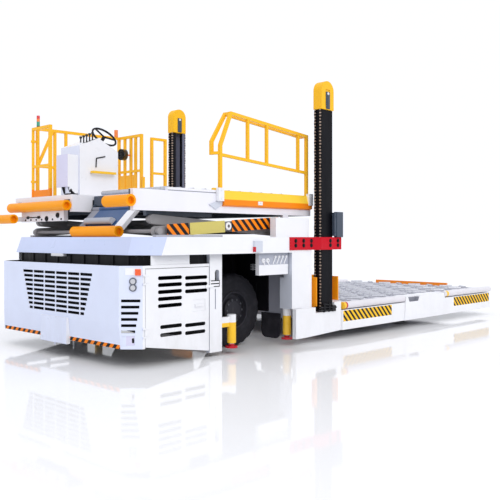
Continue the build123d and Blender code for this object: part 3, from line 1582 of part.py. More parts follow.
def make_carriage():
    """Left lift carriage: plate inside the mast, slide block in the rail and two wings."""
    plate = block(carriage_front_st, carriage_rear_st, carriage_inner, carriage_outer, platform_bottom, carriage_top)
    inset = mast_wall + slide_clearance + inner_wall + pin_clearance
    low = shoe_top + carriage_shoe_margin
    high = carriage_top - carriage_shoe_margin
    shoe = block(mast_front_st + inset, mast_front_st + mast_depth - inset, mast_inner + inset, mast_outer - inset, low, high)
    neck_inset = mast_lip + gap
    neck = block(mast_front_st + neck_inset, mast_front_st + mast_depth - neck_inset, carriage_outer, mast_inner + inset, low,
                 high)
    front_wing = block(carriage_front_st, carriage_front_st + wing_plate, carriage_outer, mast_outer - front_wing_inset,
                       wing_bottom, wing_top)
    rear_wing = block(carriage_rear_st - wing_plate, carriage_rear_st, carriage_outer, mast_outer + rear_wing_proud,
                      shoe_top + carriage_shoe_margin, wing_top)
    return joined([plate, shoe, neck, front_wing, rear_wing])


def make_leg_lamp():
    """Red lamp on the rear end of the left leg."""
    side = (leg_inner + leg_outer) / 2
    return rod((leg_rear_st, side, leg_lamp_z), (leg_rear_st + lamp_proud, side, leg_lamp_z), leg_lamp_d)


def make_tube_lamp():
    """Red lamp in the rear end of the left side tube."""
    return rod((platform_rear_st, tube_side, tube_z), (platform_rear_st + lamp_proud, tube_side, tube_z), tube_lamp_d)


def make_front_lamps():
    """Round headlamps and a square turn lamp on the left front corner."""
    lamps = [corner_disc(headlamp_across, z, headlamp_d, 0, headlamp_depth) for z in (headlamp_low_z, headlamp_high_z)]
    turn_lamp = Box(turn_lamp_depth, turn_lamp_width, turn_lamp_height, align=(Align.MIN, Align.CENTER, Align.CENTER))
    lamps.append(on_corner(Pos(0, turn_lamp_across, turn_lamp_z) * turn_lamp))
    return lamps


def make_control_boxes():
    """Valve cabinet on the left beam, a switch box on the left bracket and a small box on the beam's side."""
    cabinet = block(frame_rear_st - cabinet_length, frame_rear_st, cabinet_inner, cabinet_outer, frame_top,
                    frame_top + cabinet_height)
    switch_box = block(bracket_rear_st - switch_box_length, bracket_rear_st, switch_box_inner, half_width, frame_top,
                       frame_top + switch_box_height)
    beam_box = block(beam_box_st, beam_box_st + beam_box_length, frame_half, frame_half + beam_box_depth, beam_box_bottom,
                     beam_box_bottom + beam_box_height)
    return [cabinet, switch_box, beam_box]


def make_engine():
    return block(engine_front_st, housing_length - housing_wall, -engine_half, engine_half, engine_bottom, engine_top)


os.makedirs("parts", exist_ok=True)

# Chassis
emit("front_housing", make_front_housing())
emit("tow_panel", make_tow_panel())
emit("engine_block", make_engine())
emit("deck_frame", make_deck_frame())
emit("side_posts", *both_sides(make_side_posts()))
emit("wheel_bulkheads", *pair(make_bulkhead()))
emit("mudflaps", *pair(make_mudflap()))
emit("side_legs", *pair(make_side_leg()))
emit("mast_columns", *pair(make_mast_column()))
emit("anchor_chains", *pair(make_anchor_chain()))
emit("mast_brackets", *pair(make_bracket()))
emit("control_boxes", *make_control_boxes())
emit("front_axle", make_front_axle())
emit("rear_axle", make_rear_axle())
emit("front_lamps", *both_sides(make_front_lamps()))
emit("tail_lamps", *pair(make_leg_lamp()))
emit("scissor_tracks", *both_sides(make_scissor_tracks()))
emit("jack_barrels", *both_sides(make_jack_barrels()))
emit("jack_rods", *both_sides(make_jack_rods()))

# Doors and wheels
door = make_side_door()
emit("side_door_left", door)
emit("side_door_right", other_side(door))
for name, way in (("left", 1), ("right", -1)):
    emit(f"steer_knuckle_{name}", make_knuckle(way * kingpin_side, way))
    emit(f"front_tyre_{name}", make_front_tyre(way * wheel_side, way))
    emit(f"front_rim_{name}", make_front_rim(way * wheel_side, way))
    emit(f"rear_wheel_{name}", make_rear_wheel(way * rear_wheel_side, way))

# Scissor and bridge
emit("scissor_outer_arms", make_outer_arms())
emit("scissor_inner_arms", make_inner_arms())
emit("bridge_frame", make_bridge_frame())
emit("bridge_rollers", *make_bridge_rollers())
emit("toe_board", make_toe_board())
emit("guard_rails", make_left_guard(), make_right_guard())
emit("bridge_bumpers", *make_bumpers())
emit("operator_platform", make_operator_platform())
emit("operator_rails", make_operator_rails())
console = make_console()
emit("control_console", console)
emit("steering_wheel", make_steering_wheel(console))
emit("warning_lights", *make_warning_lights())
emit("operator_gate", make_gate())
emit("front_flap", make_front_flap())
emit("flap_bumper", make_flap_bumper())

# Main platform and its masts
emit("platform_frame", make_platform_frame())
emit("platform_rollers", *make_platform_rollers())
emit("side_tubes", *both_sides(make_side_tubes()))
emit("lift_carriages", *pair(make_carriage()))
emit("tube_lamps", *pair(make_tube_lamp()))
emit("inner_masts", *pair(make_inner_mast()))
emit("mast_caps", *pair(make_mast_cap()))
emit("head_chains", *both_sides(make_head_chains()))
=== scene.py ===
import math

import bmesh
import bpy
from mathutils import Matrix, Vector


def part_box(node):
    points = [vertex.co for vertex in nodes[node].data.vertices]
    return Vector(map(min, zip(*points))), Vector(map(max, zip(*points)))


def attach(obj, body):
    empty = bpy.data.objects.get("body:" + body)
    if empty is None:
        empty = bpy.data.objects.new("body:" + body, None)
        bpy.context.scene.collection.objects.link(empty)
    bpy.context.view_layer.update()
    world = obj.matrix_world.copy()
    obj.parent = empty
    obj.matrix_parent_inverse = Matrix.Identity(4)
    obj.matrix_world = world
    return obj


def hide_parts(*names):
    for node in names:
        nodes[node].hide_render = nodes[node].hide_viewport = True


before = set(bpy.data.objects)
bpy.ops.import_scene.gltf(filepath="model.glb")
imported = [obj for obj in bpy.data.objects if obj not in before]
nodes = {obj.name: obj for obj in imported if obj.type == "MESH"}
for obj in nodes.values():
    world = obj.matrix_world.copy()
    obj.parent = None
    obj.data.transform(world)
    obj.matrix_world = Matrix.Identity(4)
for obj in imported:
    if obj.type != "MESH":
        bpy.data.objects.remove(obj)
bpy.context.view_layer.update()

# Places are stations (metres behind the housing face), sides (metres left of the middle) and heights.
TOW_PROUD = 0.030
NOSE_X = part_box("tow_panel")[1].x - TOW_PROUD


def at(station, side, z):
    """Place in the row frame of a station, side and height."""
    return Vector((NOSE_X - station, side, z))


def front_of(node):
    """Station of a node's front end."""
    return NOSE_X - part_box(node)[1].x


def foot_of(node):
    """Height of a node's lowest point."""
    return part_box(node)[0].z


def top_of(node):
    """Height of a node's highest point."""
    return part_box(node)[1].z


# Materials

EDGE_SAMPLES = 4
FACING_LIMIT = 0.5
STRIPE_SHARE = 0.5


class Finish:
    """Procedural material being built: its nodes, its shader and the coordinates over the surface."""

    def __init__(self, name):
        self.material = bpy.data.materials.new(name)
        self.material.use_nodes = True
        self.tree = self.material.node_tree
        self.shader = self.tree.nodes["Principled BSDF"]
        self.place = self.tree.nodes.new("ShaderNodeTexCoord").outputs["Object"]
        self.axes = self.node("ShaderNodeSeparateXYZ", {"Vector": self.place}).outputs
        normal = self.tree.nodes.new("ShaderNodeNewGeometry").outputs["Normal"]
        self.normals = self.node("ShaderNodeSeparateXYZ", {"Vector": normal}).outputs

    def feed(self, socket, value):
        """Link a socket or set a number or colour."""
        if isinstance(value, bpy.types.NodeSocket):
            self.tree.links.new(value, socket)
        elif isinstance(value, tuple) and socket.type == "RGBA":
            socket.default_value = (*value, 1.0)
        else:
            socket.default_value = value

    def node(self, kind, inputs):
        """Node of a kind with its inputs fed."""
        made = self.tree.nodes.new(kind)
        for key, value in inputs.items():
            self.feed(made.inputs[key], value)
        return made

    def set(self, **inputs):
        """Give the shader its inputs, words joined by an underscore."""
        for key, value in inputs.items():
            self.feed(self.shader.inputs[key.replace("_", " ")], value)

    def calc(self, operation, first, second=0.0):
        """Result of an operation on one or two values."""
        made = self.node("ShaderNodeMath", {0: first, 1: second})
        made.operation = operation
        return made.outputs["Value"]

    def ranged(self, value, low, high, to_low=0.0, to_high=1.0):
        """Value moved from one range to another, and held at its ends."""
        ends = {"Value": value, "From Min": low, "From Max": high, "To Min": to_low, "To Max": to_high}
        return self.node("ShaderNodeMapRange", ends).outputs["Result"]

    def mix(self, factor, first, second):
        """Colour between two."""
        made = self.tree.nodes.new("ShaderNodeMix")
        made.data_type = "RGBA"
        # The sockets of a colour mix: its factor, its two colours and its result.
        factor_in, first_in, second_in, color_out = 0, 6, 7, 2
        for index, value in ((factor_in, factor), (first_in, first), (second_in, second)):
            self.feed(made.inputs[index], value)
        return made.outputs[color_out]

    def noise(self, scale, detail=4.0, rough=0.55, stretch=(1.0, 1.0, 1.0)):
        """Noise over the surface, drawn out along an axis by a small stretch."""
        place = self.node("ShaderNodeMapping", {"Vector": self.place, "Scale": stretch}).outputs["Vector"]
        inputs = {"Vector": place, "Scale": scale, "Detail": detail, "Roughness": rough}
        return self.node("ShaderNodeTexNoise", inputs).outputs["Fac"]

    def bump(self, height, strength, distance, edge=0.0):
        """Relief over the surface, with its edges eased by a radius."""
        made = self.node("ShaderNodeBump", {"Height": height, "Strength": strength, "Distance": distance})
        if edge:
            eased = self.node("ShaderNodeBevel", {"Radius": edge})
            eased.samples = EDGE_SAMPLES
            self.tree.links.new(eased.outputs["Normal"], made.inputs["Normal"])
        self.tree.links.new(made.outputs["Normal"], self.shader.inputs["Normal"])

    def both(self, first, second):
        """1 where both masks are."""
        return self.calc("MULTIPLY", first, second)

    def between(self, value, low, high):
        """1 where a value lies between two others."""
        return self.both(self.calc("GREATER_THAN", value, low), self.calc("LESS_THAN", value, high))

    def region(self, st=None, side=None, z=None, out=None):
        """1 between the stations, sides, heights and distances from the middle that are given."""
        mask = self.between(self.axes["X"], NOSE_X - st[1], NOSE_X - st[0]) if st else 1.0
        if out:
            mask = self.both(mask, self.between(self.calc("ABSOLUTE", self.axes["Y"]), *out))
        for axis, ends in (("Y", side), ("Z", z)):
            if ends:
                mask = self.both(mask, self.between(self.axes[axis], *ends))
        return mask

    def facing(self, axis, way):
        """1 where the surface looks along an axis one way."""
        return self.calc("GREATER_THAN", self.calc("MULTIPLY", self.normals[axis], way), FACING_LIMIT)

    def stripes(self, axis, period, lean=1.0):
        """Slanting bands along an axis, 1 on every second one."""
        slid = self.calc("ADD", self.axes[axis], self.calc("MULTIPLY", self.axes["Z"], lean))
        return self.calc("GREATER_THAN", self.calc("FRACT", self.calc("DIVIDE", slid, period)), STRIPE_SHARE)


def layered(finish, color, coats):
    """Colour with coats of other colours laid over it, each where its mask says."""
    for mask, coat in coats:
        color = finish.mix(mask(finish), color, coat)
    return color


def scaled(color, share):
    """Colour made darker by a share."""
    return tuple(channel * share for channel in color)


MOTTLE_COLOR = (0.25, 0.25, 0.28)
DUST_COLOR = (0.36, 0.33, 0.30)
DUST_TOP = 0.9
DUST_FOOT = 0.05
DRIPS = (1.0, 1.0, 0.35)


def paint(name, color, coats=(), roughness=0.32, dust=0.15, coat=0.1, shine=0.35):
    """Sprayed enamel: uneven gloss, fine peel, eased edges and road dust low down."""
    finish = Finish(name)
    base = layered(finish, color, coats)
    mottle = finish.ranged(finish.noise(scale=2.2), low=0.35, high=0.7, to_high=0.07)
    base = finish.mix(mottle, base, MOTTLE_COLOR)
    low = finish.ranged(finish.axes["Z"], low=DUST_TOP, high=DUST_FOOT)
    grain = finish.noise(scale=7.0, detail=8.0, rough=0.7, stretch=DRIPS)
    film = finish.ranged(grain, low=0.42, high=0.75, to_high=dust)
    finish.set(Base_Color=finish.mix(finish.both(low, film), base, DUST_COLOR))
    finish.set(Coat_Weight=coat, Coat_Roughness=0.12, Specular_IOR_Level=shine)
    gloss = finish.noise(scale=5.0, detail=6.0)
    smooth, dull = roughness - 0.06, roughness + 0.1
    finish.set(Roughness=finish.ranged(gloss, low=0.3, high=0.75, to_low=smooth, to_high=dull))
    finish.bump(finish.noise(scale=420.0, detail=2.0), strength=0.05, distance=0.0006, edge=0.004)
    return finish.material


def rubber(name, color, roughness=0.72):
    """Moulded rubber with a dusty bloom."""
    bloom_gain, bloom_lift = 2.2, 0.02
    finish = Finish(name)
    bloom = tuple(channel * bloom_gain + bloom_lift for channel in color)
    grain = finish.noise(scale=9.0, detail=8.0, rough=0.65)
    patch = finish.ranged(grain, low=0.45, high=0.75, to_high=0.55)
    smooth, dull = roughness - 0.1, roughness + 0.15
    finish.set(Base_Color=finish.mix(patch, color, bloom), Specular_IOR_Level=0.2)
    finish.set(Roughness=finish.ranged(patch, low=0.0, high=0.6, to_low=smooth, to_high=dull))
    finish.bump(finish.noise(scale=160.0, detail=5.0), strength=0.22, distance=0.002)
    return finish.material


def vinyl(name, color):
    """Vinyl skin of a bumper, scuffed along its length."""
    scuffed_share = 0.62
    finish = Finish(name)
    grain = finish.noise(scale=14.0, detail=9.0, rough=0.72, stretch=(0.6, 0.25, 1.4))
    scuff = finish.ranged(grain, low=0.58, high=0.78, to_high=0.5)
    finish.set(Base_Color=finish.mix(scuff, color, scaled(color, scuffed_share)), Specular_IOR_Level=0.2)
    finish.set(Roughness=finish.ranged(scuff, low=0.0, high=0.5, to_low=0.42, to_high=0.7))
    finish.bump(finish.noise(scale=55.0, detail=6.0), strength=0.18, distance=0.004)
    return finish.material


def steel(name, color):
    """Bright worn steel with drawn streaks."""
    shaded_share = 0.6
    finish = Finish(name)
    lines = finish.noise(scale=18.0, detail=6.0, rough=0.6, stretch=(1.0, 14.0, 1.0))
    tint = finish.ranged(lines, low=0.35, high=0.7)
    finish.set(Base_Color=finish.mix(tint, color, scaled(color, shaded_share)), Metallic=0.85)
    finish.set(Roughness=finish.ranged(lines, low=0.3, high=0.7, to_low=0.24, to_high=0.48))
    finish.bump(lines, strength=0.08, distance=0.001, edge=0.002)
    return finish.material


def lens(name, color, coats=()):
    """Ribbed lamp lens."""
    radians_per_metre = 520.0
    depth_color, depth_share = (0.05, 0.02, 0.02), 0.45
    finish = Finish(name)
    ribs = finish.calc("SINE", finish.calc("MULTIPLY", finish.axes["Z"], radians_per_metre))
    base = layered(finish, color, coats)
    deep = finish.mix(depth_share, base, depth_color)
    shade = finish.ranged(ribs, low=-1.0, high=1.0, to_high=0.5)
    finish.set(Base_Color=finish.mix(shade, base, deep), Roughness=0.12, Coat_Weight=0.6)
    finish.bump(ribs, strength=0.4, distance=0.002)
    return finish.material


WORN_UNDER = (0.20, 0.20, 0.21)
UPRIGHT_STREAKS = (1.0, 1.0, 0.12)


def worn(name, color, under=WORN_UNDER, roughness=0.4, coats=()):
    """Dark painted steel, rubbed through in streaks along its height."""
    finish = Finish(name)
    streak = finish.noise(scale=16.0, detail=8.0, rough=0.7, stretch=UPRIGHT_STREAKS)
    base = layered(finish, color, coats)
    rubbed = finish.ranged(streak, low=0.58, high=0.8, to_high=0.5)
    dull, smooth = roughness + 0.1, roughness - 0.1
    finish.set(Base_Color=finish.mix(rubbed, base, under), Specular_IOR_Level=0.15)
    finish.set(Roughness=finish.ranged(streak, low=0.3, high=0.75, to_low=dull, to_high=smooth))
    finish.bump(finish.noise(scale=240.0, detail=3.0), strength=0.06, distance=0.001, edge=0.003)
    return finish.material


SCREEN_FULL = 255.0
SCREEN_GAMMA = 2.2


def tone(red, green, blue):
    """Linear colour of a shade seen on screen, in 255ths."""
    return tuple((channel / SCREEN_FULL) ** SCREEN_GAMMA for channel in (red, green, blue))


WHITE = tone(238, 239, 243)
# Painted shade: bluish white for faces that look to the front, deeper blue for the deck frame's front, and
# lilac for shaded pockets and the cabinet's front.
FRONT_SHADE_WHITE = tone(220, 227, 247)
BEAM_FRONT_SHADE = tone(202, 213, 244)
LILAC_SHADE = tone(214, 212, 236)
PALE = tone(205, 210, 222)
MID_GREY = tone(138, 140, 150)
BOARD_GREY = tone(172, 176, 190)
SLATE = tone(62, 72, 86)
# Near black for black parts and stripes, and also for painted shade under the bridge.
NEAR_BLACK = tone(24, 24, 28)
YELLOW = tone(250, 196, 40)
RAIL = tone(252, 188, 36)
LIT_TOP_YELLOW = tone(253, 214, 76)
ORANGE = tone(252, 140, 10)
AMBER = tone(250, 158, 12)
RED = tone(194, 22, 40)
BLUE = tone(56, 86, 130)
PLATE_YELLOW = tone(206, 192, 104)
HAZARD_BRIGHT = tone(248, 132, 0)
HAZARD_PERIOD = 0.122
LEG_HAZARD_PERIOD = 0.1


def hazard(area, axis, period=HAZARD_PERIOD, color=HAZARD_BRIGHT):
    """Coats of bright and dark slanting bands over an area."""
    lean = -1.0
    return [(area, color), (lambda f: f.both(area(f), f.stripes(axis, period, lean)), NEAR_BLACK)]


def spot(**ends):
    """Mask of a region."""
    return lambda f: f.region(**ends)


def turned_to(axis, way, **ends):
    """Mask of the faces of a region that look one way."""
    return lambda f: f.both(f.region(**ends), f.facing(axis, way))


# Finishes of the solids

HOUSING_HALF = 1.452
HOUSING_CHAMFER = 0.181
HOUSING_SKIN = 0.006
SKIRT_SETBACK = 0.06
EDGE_BAND = 0.045
FRAME_UNDERSIDE = 1.210


def inside_housing(f):
    """1 within the skin of the housing, so that the engine bay and its roof are dark."""
    station = f.calc("SUBTRACT", NOSE_X, f.axes["X"])
    wall = f.calc("SUBTRACT", HOUSING_HALF, f.calc("ABSOLUTE", f.axes["Y"]))
    corner = f.calc("SUBTRACT", f.calc("ADD", station, wall), HOUSING_CHAMFER)
    inset = f.calc("MINIMUM", f.calc("MINIMUM", station, wall), corner)
    deep = f.calc("GREATER_THAN", inset, HOUSING_SKIN)
    shown = f.both(f.facing("X", 1.0), f.calc("LESS_THAN", station, SKIRT_SETBACK))
    return f.calc("SUBTRACT", deep, f.both(deep, shown))


def housing_paint():
    """White housing with a hazard band along its lower edge, dark inside, with a bluish painted shade on its
    front faces and a lilac painted shade in its low front pockets.
    """
    # The front faces take a bluish painted shade.
    face = turned_to("X", 1.0)
    edge = turned_to("X", 1.0, out=(0.28, 1.27), z=(0.0, foot_of("front_housing") + EDGE_BAND))

    def inner_pocket(f):
        """1 in the pockets low in the front corners, which take a lilac painted shade."""
        corners = f.region(st=(0.0, 0.30), out=(1.15, HOUSING_HALF), z=(0.2, 0.40))
        return f.both(inside_housing(f), corners)

    coats = [(face, FRONT_SHADE_WHITE), *hazard(edge, "Y"), (inside_housing, NEAR_BLACK), (inner_pocket, LILAC_SHADE)]
    return paint("housing_paint", WHITE, coats, roughness=0.4, dust=0.05, coat=0.0, shine=0.1)


def door_paint():
    """White doors, dark on the inside."""
    inside = spot(out=(0.0, HOUSING_HALF - HOUSING_SKIN))
    return paint("door_paint", WHITE, [(inside, NEAR_BLACK)], dust=0.2)


def frame_paint():
    """White deck frame with a grey valve board and dark hangers, and painted shade: bluish on its front,
    dark on its underside and in the wheel bay below it, pale on the pillar's front.
    """
    frame_low = FRAME_UNDERSIDE - 0.005
    # Painted shade on the front, on faces that look down, in the bay under the frame and on the pillar's
    # front.
    front = turned_to("X", 1.0, st=(0.0, 0.7), z=(1.2, 1.5))
    under = turned_to("Z", -1.0)
    hangers = spot(st=(0.30, 0.46), out=(0.6, 0.8), z=(0.9, frame_low))
    boards = turned_to("Y", 1.0, st=(1.93, 2.51), side=(1.43, 1.51), z=(1.06, frame_low))
    inner = spot(st=(1.9, 2.6), side=(-1.43, 1.43), z=(0.4, frame_low))
    pillar = turned_to("X", 1.0, st=(2.50, 2.56), z=(0.4, 1.2))
    coats = [(front, BEAM_FRONT_SHADE), (under, SLATE), (hangers, NEAR_BLACK), (boards, BOARD_GREY), (inner, SLATE),
             (pillar, PALE)]
    return paint("frame_paint", WHITE, coats)


def leg_paint():
    """White side legs with two hazard bands on their outer faces and a grey pocket between them."""
    band_out, band_z = (1.640, 1.660), (0.24, 0.39)
    near = spot(st=(3.50, 4.72), out=band_out, z=band_z)
    far = spot(st=(6.64, 7.96), out=band_out, z=band_z)
    pocket = spot(st=(5.15, 5.50), out=(1.50, 1.655), z=(0.28, 0.47))
    bands = [coat for area in (near, far) for coat in hazard(area, "X", LEG_HAZARD_PERIOD, YELLOW)]
    coats = [*bands, (pocket, MID_GREY)]
    return paint("leg_paint", WHITE, coats, roughness=0.4, dust=0.1, coat=0.0, shine=0.12)


def platform_shade_paint():
    """Pale platform, its white darkened to a grey as painted shade, with the orange bar at its rear end."""
    bar = spot(st=(7.92, 8.0), z=(0.472, 0.6))
    return paint("platform_shade_paint", tone(206, 206, 216), [(bar, ORANGE)])


def tube_paint():
    """Pale guide tubes with a yellow and red ring and a yellow strip."""
    ring = spot(st=(3.50, 3.56))
    ring_edge = spot(st=(3.56, 3.59))
    strip = spot(st=(6.38, 6.45))
    return paint("tube_paint", tone(222, 220, 226), [(ring, YELLOW), (ring_edge, RED), (strip, YELLOW)])


def bridge_paint():
    """White bridge with a pale deck, painted shade inside it and on its underside, and a grey line of
    painted shade at the foot of the kerb.
    """
    # Painted shade inside the bridge, on faces that look down and along the kerb's foot.
    inner = spot(out=(0.0, 1.30), z=(1.6, 1.93))
    under = turned_to("Z", -1.0)
    deck = turned_to("Z", 1.0, out=(0.0, 1.33), z=(1.925, 1.94))
    gusset = spot(st=(1.22, 1.46), side=(1.351, 1.37))
    kerb_shade_line = turned_to("Y", 1.0, st=(0.61, 1.36), z=(1.933, 1.944))
    coats = [(inner, SLATE), (under, NEAR_BLACK), (deck, PALE), (gusset, PALE), (kerb_shade_line, MID_GREY)]
    return paint("bridge_paint", tone(236, 236, 244), coats, dust=0.0)


def walkway_paint():
    """White operator platform with painted shade on the faces that look down."""
    return paint("walkway_paint", tone(236, 236, 242), [(turned_to("Z", -1.0), SLATE)], dust=0.0)


def toe_paint():
    """Yellow toe board with painted light on its top face, and with its fold in orange."""
    # Painted light on the faces that look up.
    coats = [(turned_to("Z", 1.0), LIT_TOP_YELLOW), (spot(z=(1.0, 1.865)), tone(246, 134, 4))]
    return paint("toe_paint", tone(252, 206, 62), coats, roughness=0.4, dust=0.0, coat=0.0, shine=0.15)


def rail_paint():
    """Yellow rails with their kick plates a little darker."""
    kick = spot(st=(2.05, 2.12), side=(-1.7, -1.0), z=(1.95, 2.36))
    gate_kick = spot(st=(0.59, 0.65), z=(1.95, 2.08))
    coats = [(kick, tone(250, 184, 56)), (gate_kick, ORANGE)]
    return paint("rail_paint", RAIL, coats, roughness=0.35, dust=0.0, coat=0.0, shine=0.2)


def box_paint():
    """Dark switch box and pale marker boxes with a red corner."""
    switch = spot(st=(3.32, 3.48))
    marker = spot(st=(1.78, 1.93), out=(1.549, 1.6))
    corner = spot(st=(1.78, 1.81), out=(1.549, 1.6), z=(1.22, 1.29))
    return paint("box_paint", WHITE, [(switch, SLATE), (marker, PALE), (corner, RED)], dust=0.0)


def console_paint():
    """White console with a bluish painted shade on its front faces, a lilac painted shade on its cabinet's
    front, a yellow grab bar and black levers.
    """
    # Painted shade on the front faces of the console and its cabinet.
    front = turned_to("X", 1.0)
    cabinet = turned_to("X", 1.0, st=(0.44, 0.605), z=(2.05, 2.48))
    grab = spot(side=(-0.42, -0.34), z=(2.22, 2.30))
    levers = spot(st=(0.64, 0.88), side=(-0.56, -0.44), z=(2.645, 3.0))
    coats = [(front, tone(222, 225, 240)), (cabinet, LILAC_SHADE), (grab, YELLOW), (levers, NEAR_BLACK)]
    return paint("console_paint", WHITE, coats, dust=0.0)


def lamp_lens():
    """Clear headlamps below orange turn lamps."""
    turn_lamp = spot(z=(0.985, 1.1))
    return lens("front_lens", tone(206, 208, 214), [(turn_lamp, tone(252, 92, 22))])


def warning_lens():
    """Stack of a green, an amber and a red lamp, an amber beacon and a black work lamp."""
    amber = tone(252, 130, 40)
    stack = (0.6, 0.8)
    stack_amber = spot(st=stack, z=(3.05, 3.09))
    stack_red = spot(st=stack, z=(3.09, 3.2))
    socket = spot(st=stack, z=(2.9, 2.99))
    beacon = spot(st=(1.98, 2.1))
    work_lamp = spot(st=(1.85, 1.985))
    coats = [(stack_amber, amber), (stack_red, tone(226, 40, 48)), (beacon, amber), (socket, NEAR_BLACK),
             (work_lamp, NEAR_BLACK)]
    return lens("warning_lens", tone(40, 160, 130), coats)


def flap_paint():
    """Blue sloping flap with a white cheek, a grey hinge end and a bright roller."""
    hinge = at(0.640, 0.0, 1.762)
    slope = math.radians(45.0)
    plate_half = 0.020
    cheek, hinge_end = spot(side=(0.63, 0.80)), spot(side=(-0.2, 0.0))

    def roller(f):
        """1 on the roller, which stands above the sloping plate."""
        along = f.calc("MULTIPLY", f.calc("SUBTRACT", f.axes["X"], hinge.x), math.sin(slope))
        up = f.calc("MULTIPLY", f.calc("SUBTRACT", f.axes["Z"], hinge.z), math.cos(slope))
        raised = f.calc("GREATER_THAN", f.calc("ADD", along, up), plate_half)
        return f.both(raised, f.region(side=(0.0, 0.58), z=(1.4, 1.70)))

    coats = [(cheek, WHITE), (hinge_end, MID_GREY), (roller, tone(168, 172, 182))]
    return paint("flap_paint", BLUE, coats, roughness=0.45, dust=0.0)


def chain_steel():
    """Leaf chain: dark plates with a bright pin end at every pitch."""
    pitch, pin_low, pin_high = 0.042, 0.3, 0.7
    finish = Finish("chain_steel")
    turn = finish.calc("FRACT", finish.calc("DIVIDE", finish.axes["Z"], pitch))
    pin = finish.between(turn, pin_low, pin_high)
    finish.set(Base_Color=finish.mix(pin, tone(34, 26, 26), tone(176, 156, 140)))
    finish.set(Metallic=0.4, Roughness=0.5)
    finish.bump(pin, strength=0.6, distance=0.004)
    return finish.material


def mast_paint():
    """Black masts, with painted light on the web of the right one."""
    low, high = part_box("mast_columns")
    middle = (low.x + high.x) / 2
    web_half = 0.07

    def lit_web(f):
        """Painted light, paler towards the rear, on the web of the right mast, which looks inwards."""
        web = f.both(f.region(side=(-1.62, -1.40)), f.facing("Y", 1.0))
        return f.both(web, f.ranged(f.axes["X"], low=middle + web_half, high=middle - web_half))

    coats = [(lit_web, tone(104, 106, 124))]
    return worn("mast_paint", tone(8, 9, 18), tone(30, 32, 46), roughness=0.5, coats=coats)


def foot_paint():
    """Red jack feet under pale rods."""
    return paint("foot_paint", RED, [(spot(z=(0.12, 0.6)), PALE)], roughness=0.35, dust=0.1)


def barrel_paint():
    """Yellow jack barrels with a white collar."""
    return paint("barrel_paint", YELLOW, [(spot(z=(0.38, 0.48)), WHITE)], roughness=0.3)


# Faces that look to the front, where a painted shade goes.
FRONT_FACE = turned_to("X", 1.0)
NODE_FINISH = {
    housing_paint(): "front_housing",
    door_paint(): "side_door_left side_door_right",
    frame_paint(): "deck_frame",
    # Painted shade on the front faces of the posts.
    paint("post_paint", WHITE, [(FRONT_FACE, PALE)]): "side_posts",
    leg_paint(): "side_legs",
    platform_shade_paint(): "platform_frame",
    tube_paint(): "side_tubes",
    bridge_paint(): "bridge_frame",
    walkway_paint(): "operator_platform",
    toe_paint(): "toe_board",
    rail_paint(): "guard_rails operator_rails operator_gate",
    box_paint(): "control_boxes",
    console_paint(): "control_console",
    barrel_paint(): "jack_barrels",
    # Bluish painted shade on the tow panel's front face.
    paint("tow_paint", WHITE, [(FRONT_FACE, FRONT_SHADE_WHITE)]): "tow_panel",
    # The bulkheads are grey as a painted shade, for the shade of the wheel arch.
    paint("bulkhead_shade_paint", tone(150, 152, 164), roughness=0.45): "wheel_bulkheads",
    worn("arm_paint", tone(150, 148, 150), tone(92, 90, 92)): "scissor_inner_arms scissor_outer_arms",
    worn("dark_steel", tone(34, 35, 40)): "engine_block front_axle rear_axle "
                                          "steer_knuckle_left steer_knuckle_right",
    worn("track_paint", tone(176, 178, 188), tone(120, 120, 126)): "scissor_tracks",
    mast_paint(): "mast_columns inner_masts",
    worn("rim_paint", tone(52, 52, 58)): "front_rim_left front_rim_right",
    worn("wheel_grip", tone(26, 26, 30)): "steering_wheel",
    rubber("rubber", tone(42, 41, 47)): "mudflaps",
    rubber("tyre_rubber", tone(30, 30, 34), roughness=0.78): "front_tyre_left front_tyre_right "
                                                             "rear_wheel_left rear_wheel_right",
    chain_steel(): "anchor_chains head_chains",
    steel("bright_steel", tone(206, 208, 216)): "bridge_rollers platform_rollers",
    paint("red_paint", RED, roughness=0.45, dust=0.1, coat=0.0, shine=0.12): "mast_brackets",
    foot_paint(): "jack_rods",
    paint("cap_paint", tone(250, 188, 26), roughness=0.4, dust=0.0, coat=0.0, shine=0.2): "mast_caps",
    paint("orange_paint", tone(255, 158, 4), roughness=0.4, dust=0.1, coat=0.0, shine=0.2): "lift_carriages",
    flap_paint(): "front_flap",
    vinyl("yellow_foam", AMBER): "bridge_bumpers flap_bumper",
    lamp_lens(): "front_lamps",
    warning_lens(): "warning_lights",
    lens("red_lens", tone(214, 20, 34)): "tail_lamps tube_lamps",
}
for finish, names in NODE_FINISH.items():
    for name in names.split():
        nodes[name].data.materials.clear()
        nodes[name].data.materials.append(finish)


# Pieces

NOTCH_PITCH = 4
NOTCH_OPEN = 2
EASE_SEGMENTS = 2


